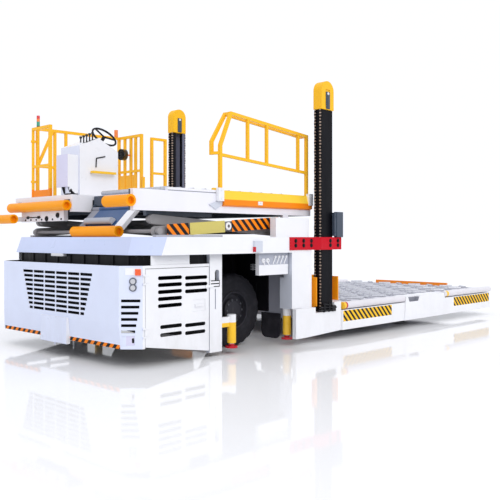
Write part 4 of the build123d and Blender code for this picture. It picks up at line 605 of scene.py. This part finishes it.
class Shape:
    """Mesh put together from blocks, rods and turned forms in the row frame."""

    def __init__(self):
        self.mesh = bmesh.new()

    def block(self, st, side, z, turn=Matrix()):
        """Block between two stations, sides and heights, turned about its middle."""
        low = at(max(st), min(side), min(z))
        high = at(min(st), max(side), max(z))
        place = Matrix.Translation((low + high) / 2) @ turn @ Matrix.Diagonal((*(high - low), 1.0))
        bmesh.ops.create_cube(self.mesh, size=1.0, matrix=place)
        return self

    def rod(self, start, end, radius, sides=16):
        """Round bar between two points."""
        along = end - start
        place = Matrix.Translation((start + end) / 2) @ along.to_track_quat("Z", "Y").to_matrix().to_4x4()
        bmesh.ops.create_cone(self.mesh, cap_ends=True, segments=sides, radius1=radius, radius2=radius,
                              depth=along.length, matrix=place)
        return self

    def turned(self, centre, axis, profile, sides=32, notch=0.0, notched=()):
        """Closed profile of (radius, place along the axis) pairs turned about the axis.

        The points that notched lists are cut in by the notch at even steps round the axis.
        """
        place = Matrix.Translation(centre) @ axis.to_track_quat("Z", "Y").to_matrix().to_4x4()
        rings = []
        for index in range(sides):
            angle = 2 * math.pi * index / sides
            ring = []
            for point, (radius, along) in enumerate(profile):
                cut = notch if point in notched and index % NOTCH_PITCH < NOTCH_OPEN else 0.0
                reach = radius - cut
                local = Vector((reach * math.cos(angle), reach * math.sin(angle), along))
                ring.append(self.mesh.verts.new(place @ local))
            rings.append(ring)
        for ring, following in zip(rings, rings[1:] + rings[:1]):
            for point in range(len(profile)):
                after = (point + 1) % len(profile)
                self.mesh.faces.new((ring[point], following[point], following[after], ring[after]))
        return self

    def piece(self, name, finish, body, slot, ease=0.0015):
        """Object of the mesh with eased edges, riding on a body."""
        bmesh.ops.recalc_face_normals(self.mesh, faces=self.mesh.faces)
        mesh = bpy.data.meshes.new(name)
        self.mesh.to_mesh(mesh)
        self.mesh.free()
        mesh.materials.append(finish)
        made = bpy.data.objects.new(name, mesh)
        bpy.context.scene.collection.objects.link(made)
        if ease:
            bevel = made.modifiers.new("eased", "BEVEL")
            bevel.width = ease
            bevel.segments = EASE_SEGMENTS
            bevel.limit_method = "ANGLE"
        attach(made, body)
        return made


NUT_STEEL = steel("nut_steel", tone(104, 106, 112))
BLACK_STEEL = worn("black_steel", tone(26, 26, 30))
WHITE_TRIM = paint("trim_white", WHITE, dust=0.1)
RIM_TRIM = paint("trim_rim", tone(92, 96, 108), roughness=0.35, dust=0.1)
SLATE_TRIM = paint("trim_slate", SLATE, roughness=0.4, dust=0.1)
YELLOW_TRIM = paint("trim_yellow", YELLOW, roughness=0.3, dust=0.0)
LEFT = Vector((0.0, 1.0, 0.0))
FRONT = Vector((1.0, 0.0, 0.0))
UP = Vector((0.0, 0.0, 1.0))
WAYS = (1.0, -1.0)
SIDES = tuple(zip(WAYS, ("left", "right")))
# How far a piece is let into what it stands on.
SEAT = 0.001
DEEP_SEAT = 0.002


def about(middle, half):
    """Ends of a length that lies about its middle."""
    return middle - half, middle + half


def bolt(shape, base, way, radius, height):
    """Washer and head standing on a face."""
    washer_height, washer_width, head_foot, head_sides = 0.35, 1.45, 0.3, 6
    shape.rod(base, base + way * height * washer_height, radius * washer_width)
    shape.rod(base + way * height * head_foot, base + way * height, radius, head_sides)


def make_tyres():
    """Tyres with grooved treads and notched shoulders."""
    outer, bead, groove = 0.470, 0.246, 0.012
    sides, notch = 96, 0.010
    # From the bead to the middle of the tread: radius, place across the tyre.
    wall = [(bead, 0.128), (0.290, 0.146), (0.360, 0.149), (0.420, 0.141), (0.452, 0.126),
            (outer - 0.004, 0.108)]
    tread = [(outer, 0.086), (outer - groove, 0.080), (outer - groove, 0.066), (outer, 0.060),
             (outer, 0.012), (outer - groove, 0.008)]
    left_half = wall + tread
    profile = left_half + [(radius, -across) for radius, across in reversed(left_half)]
    last = len(profile) - 1
    shoulder = (4, 5, 6)
    notched = (*shoulder, *(last - point for point in shoulder))
    tread_rubber = rubber("tread_rubber", tone(36, 36, 41), roughness=0.8)
    for _, name in SIDES:
        low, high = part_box("front_tyre_" + name)
        shape = Shape().turned((low + high) / 2, LEFT, profile, sides, notch, notched)
        made = shape.piece("treaded_tyre_" + name, tread_rubber, "front_wheel_" + name, "tyre", ease=0.0)
        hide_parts("front_tyre_" + name)


def make_hub_nuts():
    """Ring of wheel nuts round each front hub."""
    count, circle = 10, 0.135
    radius, height = 0.010, 0.010
    for way, name in SIDES:
        low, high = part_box("front_rim_" + name)
        middle = (low + high) / 2
        face = high.y if way > 0 else low.y
        shape = Shape()
        for index in range(count):
            angle = 2 * math.pi * index / count
            base = Vector((middle.x + circle * math.cos(angle), face, middle.z + circle * math.sin(angle)))
            bolt(shape, base - LEFT * way * SEAT, LEFT * way, radius, height)
        shape.piece("hub_nuts_" + name, NUT_STEEL, "front_wheel_" + name, "steel")


def make_bracket_bolts():
    """Bolts through the mast brackets."""
    front_face, rear_face = 1.562, 1.634
    front_stations, rear_stations, heights = (2.58, 2.74, 2.90), (3.22, 3.39), (1.30, 1.36)
    radius, height = 0.019, 0.012
    shape = Shape()
    for way in WAYS:
        for face, stations in ((front_face, front_stations), (rear_face, rear_stations)):
            for station in stations:
                for z in heights:
                    bolt(shape, at(station, way * face, z), LEFT * way, radius, height)
    shape.piece("bracket_bolts", BLACK_STEEL, "chassis", "dark_steel", ease=0.001)


def make_arm_plates():
    """Hazard plates and the blank plate on the left outer arm, with the ring of its centre pin."""
    low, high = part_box("scissor_outer_arms")
    middle = (low + high) / 2
    middle_st = NOSE_X - middle.x
    face = high.y
    tilt = math.radians(3.64)
    turn = Matrix.Rotation(tilt, 4, "Y")
    half_height, thick = 0.071, 0.004
    screw_inset, screw_radius, screw_height = 0.02, 0.006, 0.004
    bands = hazard(lambda f: 1.0, "X")[1:]
    banded = paint("arm_hazard", HAZARD_BRIGHT, bands, roughness=0.45, dust=0.0, coat=0.0, shine=0.15)
    blank = paint("arm_plate", PLATE_YELLOW, roughness=0.4, dust=0.0)

    def plate(shape, reach):
        """Plate between two distances from the pin along the arm, with a screw at each end."""
        offset = (reach[0] + reach[1]) / 2
        rise = middle.z + offset * math.tan(tilt)
        ends = (middle_st + reach[0], middle_st + reach[1])
        shape.block(ends, (face - SEAT, face + thick), about(rise, half_height), turn)
        for end in reach:
            inset = end - math.copysign(screw_inset, end - offset)
            foot = at(middle_st + inset, face + thick - SEAT, middle.z + inset * math.tan(tilt))
            bolt(shape, foot, LEFT, screw_radius, screw_height)

    striped, plain = Shape(), Shape()
    plate(striped, (-0.96, -0.64))
    plate(striped, (0.06, 0.92))
    striped.piece("arm_hazard_plates", banded, "scissor_outer", "yellow_paint", ease=0.001)
    plate(plain, (-0.62, -0.06))
    plain.piece("arm_blank_plate", blank, "scissor_outer", "yellow_paint", ease=0.001)
    # Radius, place along the pin.
    ring = [(0.022, 0.0), (0.048, 0.0), (0.048, 0.008), (0.040, 0.012), (0.022, 0.012)]
    pin = Shape().turned(Vector((middle.x, face - SEAT, middle.z)), LEFT, ring)
    pin.piece("arm_pin_ring", WHITE_TRIM, "scissor_outer", "white_paint", ease=0.0)


def make_bay_shroud():
    """Dark ribbed shroud that closes the gap between the housing roof and the deck frame."""
    z = (top_of("front_housing") - 0.018, FRAME_UNDERSIDE - 0.002)
    front, rear = 0.210, 1.157
    half, corner, thick = HOUSING_HALF - 0.052, 0.20, 0.006
    ribs, rib_half, rib_proud, rib_margin = 9, 0.012, 0.012, 0.03
    diagonal = corner * 2 ** 0.5 / 2
    shape = Shape()
    shape.block((front, front + thick), (-half + corner, half - corner), z)
    for way in WAYS:
        shape.block((front + corner, rear), (way * half, way * (half - thick)), z)
        middle_st, middle_side = front + corner / 2, way * (half - corner / 2)
        turn = Matrix.Rotation(-way * math.radians(45.0), 4, "Z")
        shape.block(about(middle_st, diagonal), about(middle_side, thick / 2), z, turn)
    for index in range(ribs):
        side = (half - corner - rib_margin) * (2 * index / (ribs - 1) - 1)
        shape.block((front - rib_proud, front + DEEP_SEAT), about(side, rib_half), z)
    shape.piece("bay_shroud", BLACK_STEEL, "chassis", "dark_steel", ease=0.002)


def make_roof_panels():
    """White panels bolted on the rim of the housing roof, under the sides of the deck frame."""
    ends, bolt_stations = (0.30, 0.85), (0.36, 0.575, 0.79)
    foot, top = top_of("front_housing") - SEAT, FRAME_UNDERSIDE - 0.0005
    inner, outer = HOUSING_HALF - 0.018, HOUSING_HALF - 0.006
    flange_in, flange_out, flange_height = 0.006, 0.004, 0.008
    bolt_rise, bolt_radius, bolt_height = 0.045, 0.006, 0.005
    shape = Shape()
    for way in WAYS:
        shape.block(ends, (way * inner, way * outer), (foot, top))
        flange = (way * (inner - flange_in), way * (outer + flange_out))
        shape.block(ends, flange, (foot, foot + flange_height))
        for station in bolt_stations:
            base = at(station, way * (outer - SEAT), foot + bolt_rise)
            bolt(shape, base, LEFT * way, bolt_radius, bolt_height)
    shape.piece("roof_panels", WHITE_TRIM, "chassis", "white_paint", ease=0.002)


def make_bay_liners():
    """Dark ribbed liners between the front wheels and the middle of the machine."""
    face, thick = 0.45, 0.006
    front, rear = 1.16, front_of("wheel_bulkheads")
    high = FRAME_UNDERSIDE - 0.002
    wall_z, back_z = (0.62, high), (0.41, high)
    ribs, first_rib, rib_pitch, rib_width, rib_proud = 6, 0.12, 0.24, 0.03, 0.02
    back_st, back_side = (rear - 0.016, rear - 0.002), 1.08
    shape = Shape()
    for way in WAYS:
        shape.block((front, rear), (way * face, way * (face - thick)), wall_z)
        rib_sides = (way * (face - DEEP_SEAT), way * (face + rib_proud))
        for index in range(ribs):
            station = front + first_rib + rib_pitch * index
            shape.block((station, station + rib_width), rib_sides, wall_z)
        shape.block(back_st, (way * (face - thick), way * back_side), back_z)
    shape.piece("bay_liners", BLACK_STEEL, "chassis", "dark_steel", ease=0.002)


def make_radiator():
    """Radiator core with upright fins behind the grille."""
    front, rear = 0.110, 0.150
    low, high, half = 0.36, 1.05, 1.02
    fins, fin_half, fin_proud, fin_inset = 40, 0.006, 0.010, 0.02
    shape = Shape()
    shape.block((front, rear), (-half, half), (low, high))
    for index in range(fins):
        side = -half + 2 * half * (index + 0.5) / fins
        fin_st = (front - fin_proud, front + DEEP_SEAT)
        shape.block(fin_st, about(side, fin_half), (low + fin_inset, high - fin_inset))
    shape.piece("radiator_core", BLACK_STEEL, "chassis", "dark_steel", ease=0.001)


def make_lamp_rims():
    """Grey rims round the headlamps on the chamfered corners."""
    diagonal = 2 ** -0.5
    heights, outward, sides = (0.866, 0.935), 0.025, 28
    # Radius, place along the lamp's axis.
    rim = [(0.028, 0.0), (0.040, 0.0), (0.040, 0.012), (0.035, 0.018), (0.028, 0.018)]
    shape = Shape()
    for way in WAYS:
        normal = Vector((diagonal, diagonal * way, 0.0))
        along = Vector((-normal.y, normal.x, 0.0)) * way
        middle = at(HOUSING_CHAMFER / 2, way * (HOUSING_HALF - HOUSING_CHAMFER / 2), 0.0)
        for z in heights:
            shape.turned(middle + along * outward + UP * z, normal, rim, sides)
    shape.piece("headlamp_rims", RIM_TRIM, "chassis", "grey_paint", ease=0.0)


def make_front_trim():
    """Covers over the headlamps and the bolted block under the front of the deck frame."""
    cover_reach, cover_half, cover_z = 0.087, 0.010, (1.000, 1.075)
    back, slide = 0.004, 0.020
    block_st, block_side, block_z = (0.150, 0.200), (-0.355, -0.079), (1.176, FRAME_UNDERSIDE + SEAT)
    bolt_st, bolt_sides, bolt_z, bolt_radius, bolt_height = 0.1505, (-0.32, -0.115), 1.192, 0.007, 0.006
    shape = Shape()
    for way in WAYS:
        turn = Matrix.Rotation(-way * math.radians(45.0), 4, "Z")
        station = HOUSING_CHAMFER / 2 + back + slide
        side = way * (HOUSING_HALF - HOUSING_CHAMFER / 2 - back + slide)
        shape.block(about(station, cover_reach), about(side, cover_half), cover_z, turn)
    shape.block(block_st, block_side, block_z)
    for side in bolt_sides:
        bolt(shape, at(bolt_st, side, bolt_z), FRONT, bolt_radius, bolt_height)
    shape.piece("front_trim", WHITE_TRIM, "chassis", "white_paint", ease=0.003)


def make_board_fittings():
    """Valve bodies and levers on the grey board in front of the pillar."""
    face = 1.500
    valve_stations, valve_z, valve_sides = (2.02, 2.10), 1.115, 20
    spout_top, spout_foot, spout_run, spout_proud, spout_radius = 1.10, 1.06, 0.02, 0.012, 0.007
    lever_stations = (2.20, 2.27, 2.34, 2.41)
    lever_foot, lever_top, lever_run, lever_radius = 1.068, 1.160, 0.045, 0.008
    foot_proud, top_proud = 0.004, 0.008
    knob_sides = 16
    # Radius, place out from the board.
    valve = [(0.010, 0.0), (0.030, 0.0), (0.030, 0.014), (0.018, 0.020), (0.010, 0.020)]
    knob = [(0.006, 0.0), (0.016, 0.0), (0.016, 0.012), (0.006, 0.012)]
    shape = Shape()
    for station in valve_stations:
        shape.turned(at(station, face - DEEP_SEAT, valve_z), LEFT, valve, valve_sides)
        spout_end = at(station + spout_run, face + spout_proud, spout_foot)
        shape.rod(at(station, face, spout_top), spout_end, spout_radius)
    for station in lever_stations:
        end = station + lever_run
        lever_start = at(station, face + foot_proud, lever_foot)
        shape.rod(lever_start, at(end, face + top_proud, lever_top), lever_radius)
        shape.turned(at(end, face, lever_top), LEFT, knob, knob_sides)
    shape.piece("board_fittings", WHITE_TRIM, "chassis", "white_paint", ease=0.001)


def make_bay_lines():
    """White pipe lines clipped on the bulkhead in the wheel bay."""
    front = front_of("wheel_bulkheads") - 0.016
    pipe_st, pipe_radius = front - 0.006, 0.007
    pipe_inner, pipe_outer, pipe_heights = 0.76, 0.98, (1.03, 1.00, 0.97)
    clip_sides, clip_half, clip_proud, clip_z = (0.80, 0.94), 0.008, 0.010, (0.955, 1.045)
    shape = Shape()
    for z in pipe_heights:
        shape.rod(at(pipe_st, pipe_inner, z), at(pipe_st, pipe_outer, z), pipe_radius)
    for side in clip_sides:
        clip_st = (front - clip_proud, front + DEEP_SEAT)
        shape.block(clip_st, about(side, clip_half), clip_z)
    shape.piece("bay_lines", WHITE_TRIM, "chassis", "white_paint", ease=0.001)


def make_mast_foot():
    """Hoses and their clamps on the left leg at the foot of the mast."""
    leg_top, side = 0.400, 1.628
    hose_radius, hose_sides, hose_fall = 0.012, 12, 0.015
    # Hoses: front station, rear station, height at the front.
    hoses = [(2.96, 3.30, 0.430), (3.02, 3.36, 0.465), (3.06, 3.24, 0.505)]
    clamp_stations, clamp_half, clamp_in, clamp_out, clamp_top = (3.09, 3.20), 0.014, 0.010, 0.014, 0.520
    box_st, box_half, box_top = (3.26, 3.34), 0.012, 0.480
    foot = leg_top - SEAT
    shape = Shape()
    for start, end, z in hoses:
        shape.rod(at(start, side, z), at(end, side, z - hose_fall), hose_radius, hose_sides)
    for station in clamp_stations:
        clamp_side = (side - clamp_in, side + clamp_out)
        shape.block(about(station, clamp_half), clamp_side, (foot, clamp_top))
    shape.block(box_st, about(side, box_half), (foot, box_top))
    shape.piece("mast_foot_hoses", BLACK_STEEL, "chassis", "black_paint", ease=0.002)


def make_switch_hood():
    """Hood that joins the switch box to the rear of the mast."""
    inner, face = 1.614, 1.656
    hood_st, hood_z = (3.285, 3.334), (1.425, 1.745)
    bolt_st, bolt_heights, bolt_radius, bolt_height = 3.308, (1.48, 1.69), 0.008, 0.006
    shape = Shape()
    shape.block(hood_st, (inner, face), hood_z)
    for z in bolt_heights:
        bolt(shape, at(bolt_st, face - SEAT, z), LEFT, bolt_radius, bolt_height)
    shape.piece("switch_hood", SLATE_TRIM, "chassis", "dark_steel", ease=0.003)


def make_door_hinges():
    """Hinge straps between the doors and the posts, on dark backing plates."""
    face = HOUSING_HALF
    inner = face - DEEP_SEAT
    strap_st, strap_heights, strap_half, strap_proud = (1.165, 1.300), (0.845, 0.880), 0.011, 0.010
    pin_st, pin_out, pin_low, pin_high, pin_radius = 1.160, face + 0.004, 0.825, 0.900, 0.009
    plate_st, plate_z, plate_proud = (1.162, 1.315), (0.824, 0.901), 0.004
    bolt_st, bolt_z, bolt_radius, bolt_height = 1.305, 0.862, 0.006, 0.006
    straps, plates = Shape(), Shape()
    for way in WAYS:
        for z in strap_heights:
            strap_sides = (way * inner, way * (face + strap_proud))
            straps.block(strap_st, strap_sides, about(z, strap_half))
        straps.rod(at(pin_st, way * pin_out, pin_low), at(pin_st, way * pin_out, pin_high), pin_radius)
        plates.block(plate_st, (way * inner, way * (face + plate_proud)), plate_z)
        base = at(bolt_st, way * (face + plate_proud - SEAT), bolt_z)
        bolt(plates, base, LEFT * way, bolt_radius, bolt_height)
    straps.piece("door_hinge_straps", WHITE_TRIM, "chassis", "white_paint", ease=0.002)
    plates.piece("door_hinge_backs", BLACK_STEEL, "chassis", "dark_steel", ease=0.001)


def make_rail_sleeves():
    """Latch of the toe board and sleeves of the rail posts."""
    latch_st, latch_side, latch_z = (2.045, 2.125), (1.385, 1.398), (1.812, 1.858)
    pin_start, pin_end, pin_radius = at(2.085, 1.396, 1.820), at(2.085, 1.408, 1.850), 0.009
    sleeve_stations, sleeve_front, sleeve_rear = (1.372, 3.068), 0.02, 0.07
    sleeve_inner, sleeve_face, sleeve_z = 1.352, 1.402, (1.84, 2.0)
    bolt_behind, bolt_heights, bolt_radius, bolt_height = 0.025, (1.87, 1.97), 0.009, 0.008
    shape = Shape()
    shape.block(latch_st, latch_side, latch_z)
    shape.rod(pin_start, pin_end, pin_radius)
    for station in sleeve_stations:
        sleeve_st = (station - sleeve_front, station + sleeve_rear)
        shape.block(sleeve_st, (sleeve_inner, sleeve_face), sleeve_z)
        for z in bolt_heights:
            bolt(shape, at(station + bolt_behind, sleeve_face - SEAT, z), LEFT, bolt_radius, bolt_height)
    shape.piece("rail_sleeves", WHITE_TRIM, "bridge", "white_paint", ease=0.003)


def make_kerb_bracket():
    """Yellow bracket with its foot at the end of the kerb."""
    # Each block between two stations, sides and heights.
    upright = ((1.335, 1.365), (1.290, 1.348), (1.935, 2.000))
    foot = ((1.325, 1.375), (1.285, 1.350), (1.934, 1.945))
    shape = Shape().block(*upright).block(*foot)
    shape.piece("kerb_bracket", YELLOW_TRIM, "bridge", "yellow_paint", ease=0.003)


def make_console_loom():
    """Loom under the console's cabinet, and the bent handle on the console's side."""
    loom_radius, handle_radius, post_radius, sides = 0.022, 0.008, 0.007, 10
    side, post_depth = -0.424, 0.012
    # Hoses: start, bend and end, each as station, side and height.
    hoses = [((0.50, -0.50, 2.062), (0.50, -0.46, 1.99), (0.60, -0.50, 1.95)),
             ((0.55, -0.55, 2.062), (0.54, -0.52, 2.00), (0.60, -0.56, 1.97)),
             ((0.47, -0.60, 2.062), (0.49, -0.58, 1.98), (0.58, -0.60, 1.95))]
    # Bars of the handle: start and end, each as station and height.
    bars = [((0.855, 2.33), (0.862, 2.452)), ((0.860, 2.450), (0.999, 2.483))]
    # Posts of the handle: station, height.
    posts = [(0.857, 2.35), (0.99, 2.481)]
    shape = Shape()
    for start, bend, end in hoses:
        shape.rod(at(*start), at(*bend), loom_radius, sides)
        shape.rod(at(*bend), at(*end), loom_radius, sides)
    for (start, low), (end, high) in bars:
        shape.rod(at(start, side, low), at(end, side, high), handle_radius, sides)
    for station, z in posts:
        shape.rod(at(station, side, z), at(station, side - post_depth, z), post_radius, sides)
    shape.piece("cabinet_loom", BLACK_STEEL, "bridge", "black_paint", ease=0.001)


def make_platform_fittings():
    """Sockets, bolts and a clipped pipe on the front plate of the operator platform."""
    face = 0.370
    seat = face + SEAT
    # Sockets: side, height.
    sockets, socket_sides = [(-0.83, 1.650), (-0.56, 1.690)], 20
    bolt_sides, bolt_z = (-1.38, -1.24, -1.10, -0.96, -0.69, -0.48), 1.640
    bolt_radius, bolt_height = 0.010, 0.010
    clip_sides, clip_half, clip_proud, clip_z = (-1.31, -1.03), 0.022, 0.014, (1.655, 1.690)
    pipe_st, pipe_z, pipe_radius, pipe_sides = face - 0.007, 1.672, 0.006, 12
    pipe_right, pipe_left = -1.36, -0.98
    # Radius, place out from the plate.
    ring = [(0.010, 0.0), (0.034, 0.0), (0.034, 0.012), (0.026, 0.020), (0.010, 0.020)]
    shape = Shape()
    for side, z in sockets:
        shape.turned(at(seat, side, z), FRONT, ring, socket_sides)
    for side in bolt_sides:
        bolt(shape, at(seat, side, bolt_z), FRONT, bolt_radius, bolt_height)
    for side in clip_sides:
        clip_st = (face - clip_proud, face + DEEP_SEAT)
        shape.block(clip_st, about(side, clip_half), clip_z)
    pipe_start, pipe_end = at(pipe_st, pipe_right, pipe_z), at(pipe_st, pipe_left, pipe_z)
    shape.rod(pipe_start, pipe_end, pipe_radius, pipe_sides)
    shape.piece("platform_fittings", BLACK_STEEL, "bridge", "black_paint", ease=0.001)


def make_cap_bars():
    """Dark bar and white bolt in the slot of each mast cap."""
    low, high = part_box("mast_caps")
    middle = NOSE_X - (low.x + high.x) / 2
    right_face = -1.471
    bar_half, bar_in, bar_proud, bar_rise = 0.042, 0.004, 0.008, (0.01, 0.24)
    rib_half, rib_proud, rib_rise = 0.018, 0.012, (0.02, 0.20)
    bolt_rise, bolt_radius, bolt_height = 0.215, 0.014, 0.010
    bars, bolts = Shape(), Shape()
    for way in WAYS:
        face = high.y if way > 0 else right_face
        inner = face - bar_in
        bar_z = (low.z + bar_rise[0], low.z + bar_rise[1])
        rib_z = (low.z + rib_rise[0], low.z + rib_rise[1])
        bars.block(about(middle, bar_half), (inner, face + bar_proud), bar_z)
        bars.block(about(middle, rib_half), (inner, face + rib_proud), rib_z)
        bolt(bolts, at(middle, face + bar_proud, low.z + bolt_rise), LEFT, bolt_radius, bolt_height)
    bars.piece("cap_bars", SLATE_TRIM, "mast_heads", "grey_paint", ease=0.002)
    bolts.piece("cap_bolts", WHITE_TRIM, "mast_heads", "white_paint", ease=0.001)


def make_lamp_guard():
    """Guard bars and rim of the work lamp."""
    middle = at(1.900, -1.324, 2.660)
    radius, bar_radius, bar_sides = 0.075, 0.005, 8
    bar_offsets, cross_step, rim_step = (-0.04, 0.0, 0.04), 0.004, 0.006
    # Radius, place along the lamp's axis.
    rim = [(0.070, 0.0), (0.084, 0.0), (0.084, 0.010), (0.070, 0.010)]
    shape = Shape()
    for offset in bar_offsets:
        reach = math.sqrt(radius ** 2 - offset ** 2)
        upright = middle + LEFT * offset
        level = middle + FRONT * cross_step + UP * offset
        shape.rod(upright - UP * reach, upright + UP * reach, bar_radius, bar_sides)
        shape.rod(level - LEFT * reach, level + LEFT * reach, bar_radius, bar_sides)
    shape.turned(middle - FRONT * rim_step, FRONT, rim)
    shape.piece("work_lamp_guard", BLACK_STEEL, "bridge", "black_paint", ease=0.0)


make_tyres()
make_hub_nuts()
make_bracket_bolts()
make_arm_plates()
make_bay_shroud()
make_roof_panels()
make_bay_liners()
make_radiator()
make_lamp_rims()
make_front_trim()
make_board_fittings()
make_bay_lines()
make_mast_foot()
make_switch_hood()
make_door_hinges()
make_rail_sleeves()
make_kerb_bracket()
make_console_loom()
make_platform_fittings()
make_cap_bars()
make_lamp_guard()


# Floor, light and camera

def make_floor():
    """Pale, slightly glossy studio floor."""
    reach = 120.0
    corners = [(-reach, -reach, 0), (reach, -reach, 0), (reach, reach, 0), (-reach, reach, 0)]
    light_floor, dark_floor = (0.95, 0.95, 0.95), (0.93, 0.93, 0.94)
    mesh = bpy.data.meshes.new("floor")
    mesh.from_pydata(corners, [], [(0, 1, 2, 3)])
    floor = bpy.data.objects.new("floor", mesh)
    bpy.context.scene.collection.objects.link(floor)
    finish = Finish("studio_floor")
    finish.set(Base_Color=finish.mix(finish.noise(scale=0.4), light_floor, dark_floor))
    finish.set(Roughness=0.05, Specular_IOR_Level=0.1)
    mesh.materials.append(finish.material)


def make_lights():
    """White surround and one soft sun."""
    sky_color, sky_strength = (1.0, 1.02, 1.08, 1.0), 1.0
    sun_strength, sun_spread, sun_color = 0.8, math.radians(30.0), (1.0, 0.96, 0.90)
    sun_way = Vector((-0.25, -1.0, -0.75))
    world = bpy.data.worlds.new("studio")
    world.use_nodes = True
    backdrop = world.node_tree.nodes["Background"]
    backdrop.inputs["Color"].default_value = sky_color
    backdrop.inputs["Strength"].default_value = sky_strength
    bpy.context.scene.world = world
    lamp = bpy.data.lights.new("key", "SUN")
    lamp.energy = sun_strength
    lamp.angle = sun_spread
    lamp.color = sun_color
    key = bpy.data.objects.new("key", lamp)
    key.rotation_euler = sun_way.to_track_quat("-Z", "Y").to_euler()
    bpy.context.scene.collection.objects.link(key)
    bpy.context.scene.view_settings.view_transform = "Standard"


def make_camera():
    """Level camera, with the horizon moved off the middle of the picture."""
    focal_pixels, image_pixels, horizon_rise = 711.762, 500.0, 12.147
    eye_place, level, heading = (8.508, 7.551, 1.4), math.radians(90.0), math.radians(133.9)
    camera = bpy.data.cameras.new("camera")
    camera.sensor_width = 36.0
    camera.lens = focal_pixels * camera.sensor_width / image_pixels
    camera.shift_y = -horizon_rise / image_pixels
    camera.clip_end = 400.0
    eye = bpy.data.objects.new("camera", camera)
    eye.location = eye_place
    eye.rotation_euler = (level, 0.0, heading)
    bpy.context.scene.collection.objects.link(eye)
    bpy.context.scene.camera = eye


make_floor()
make_lights()
make_camera()
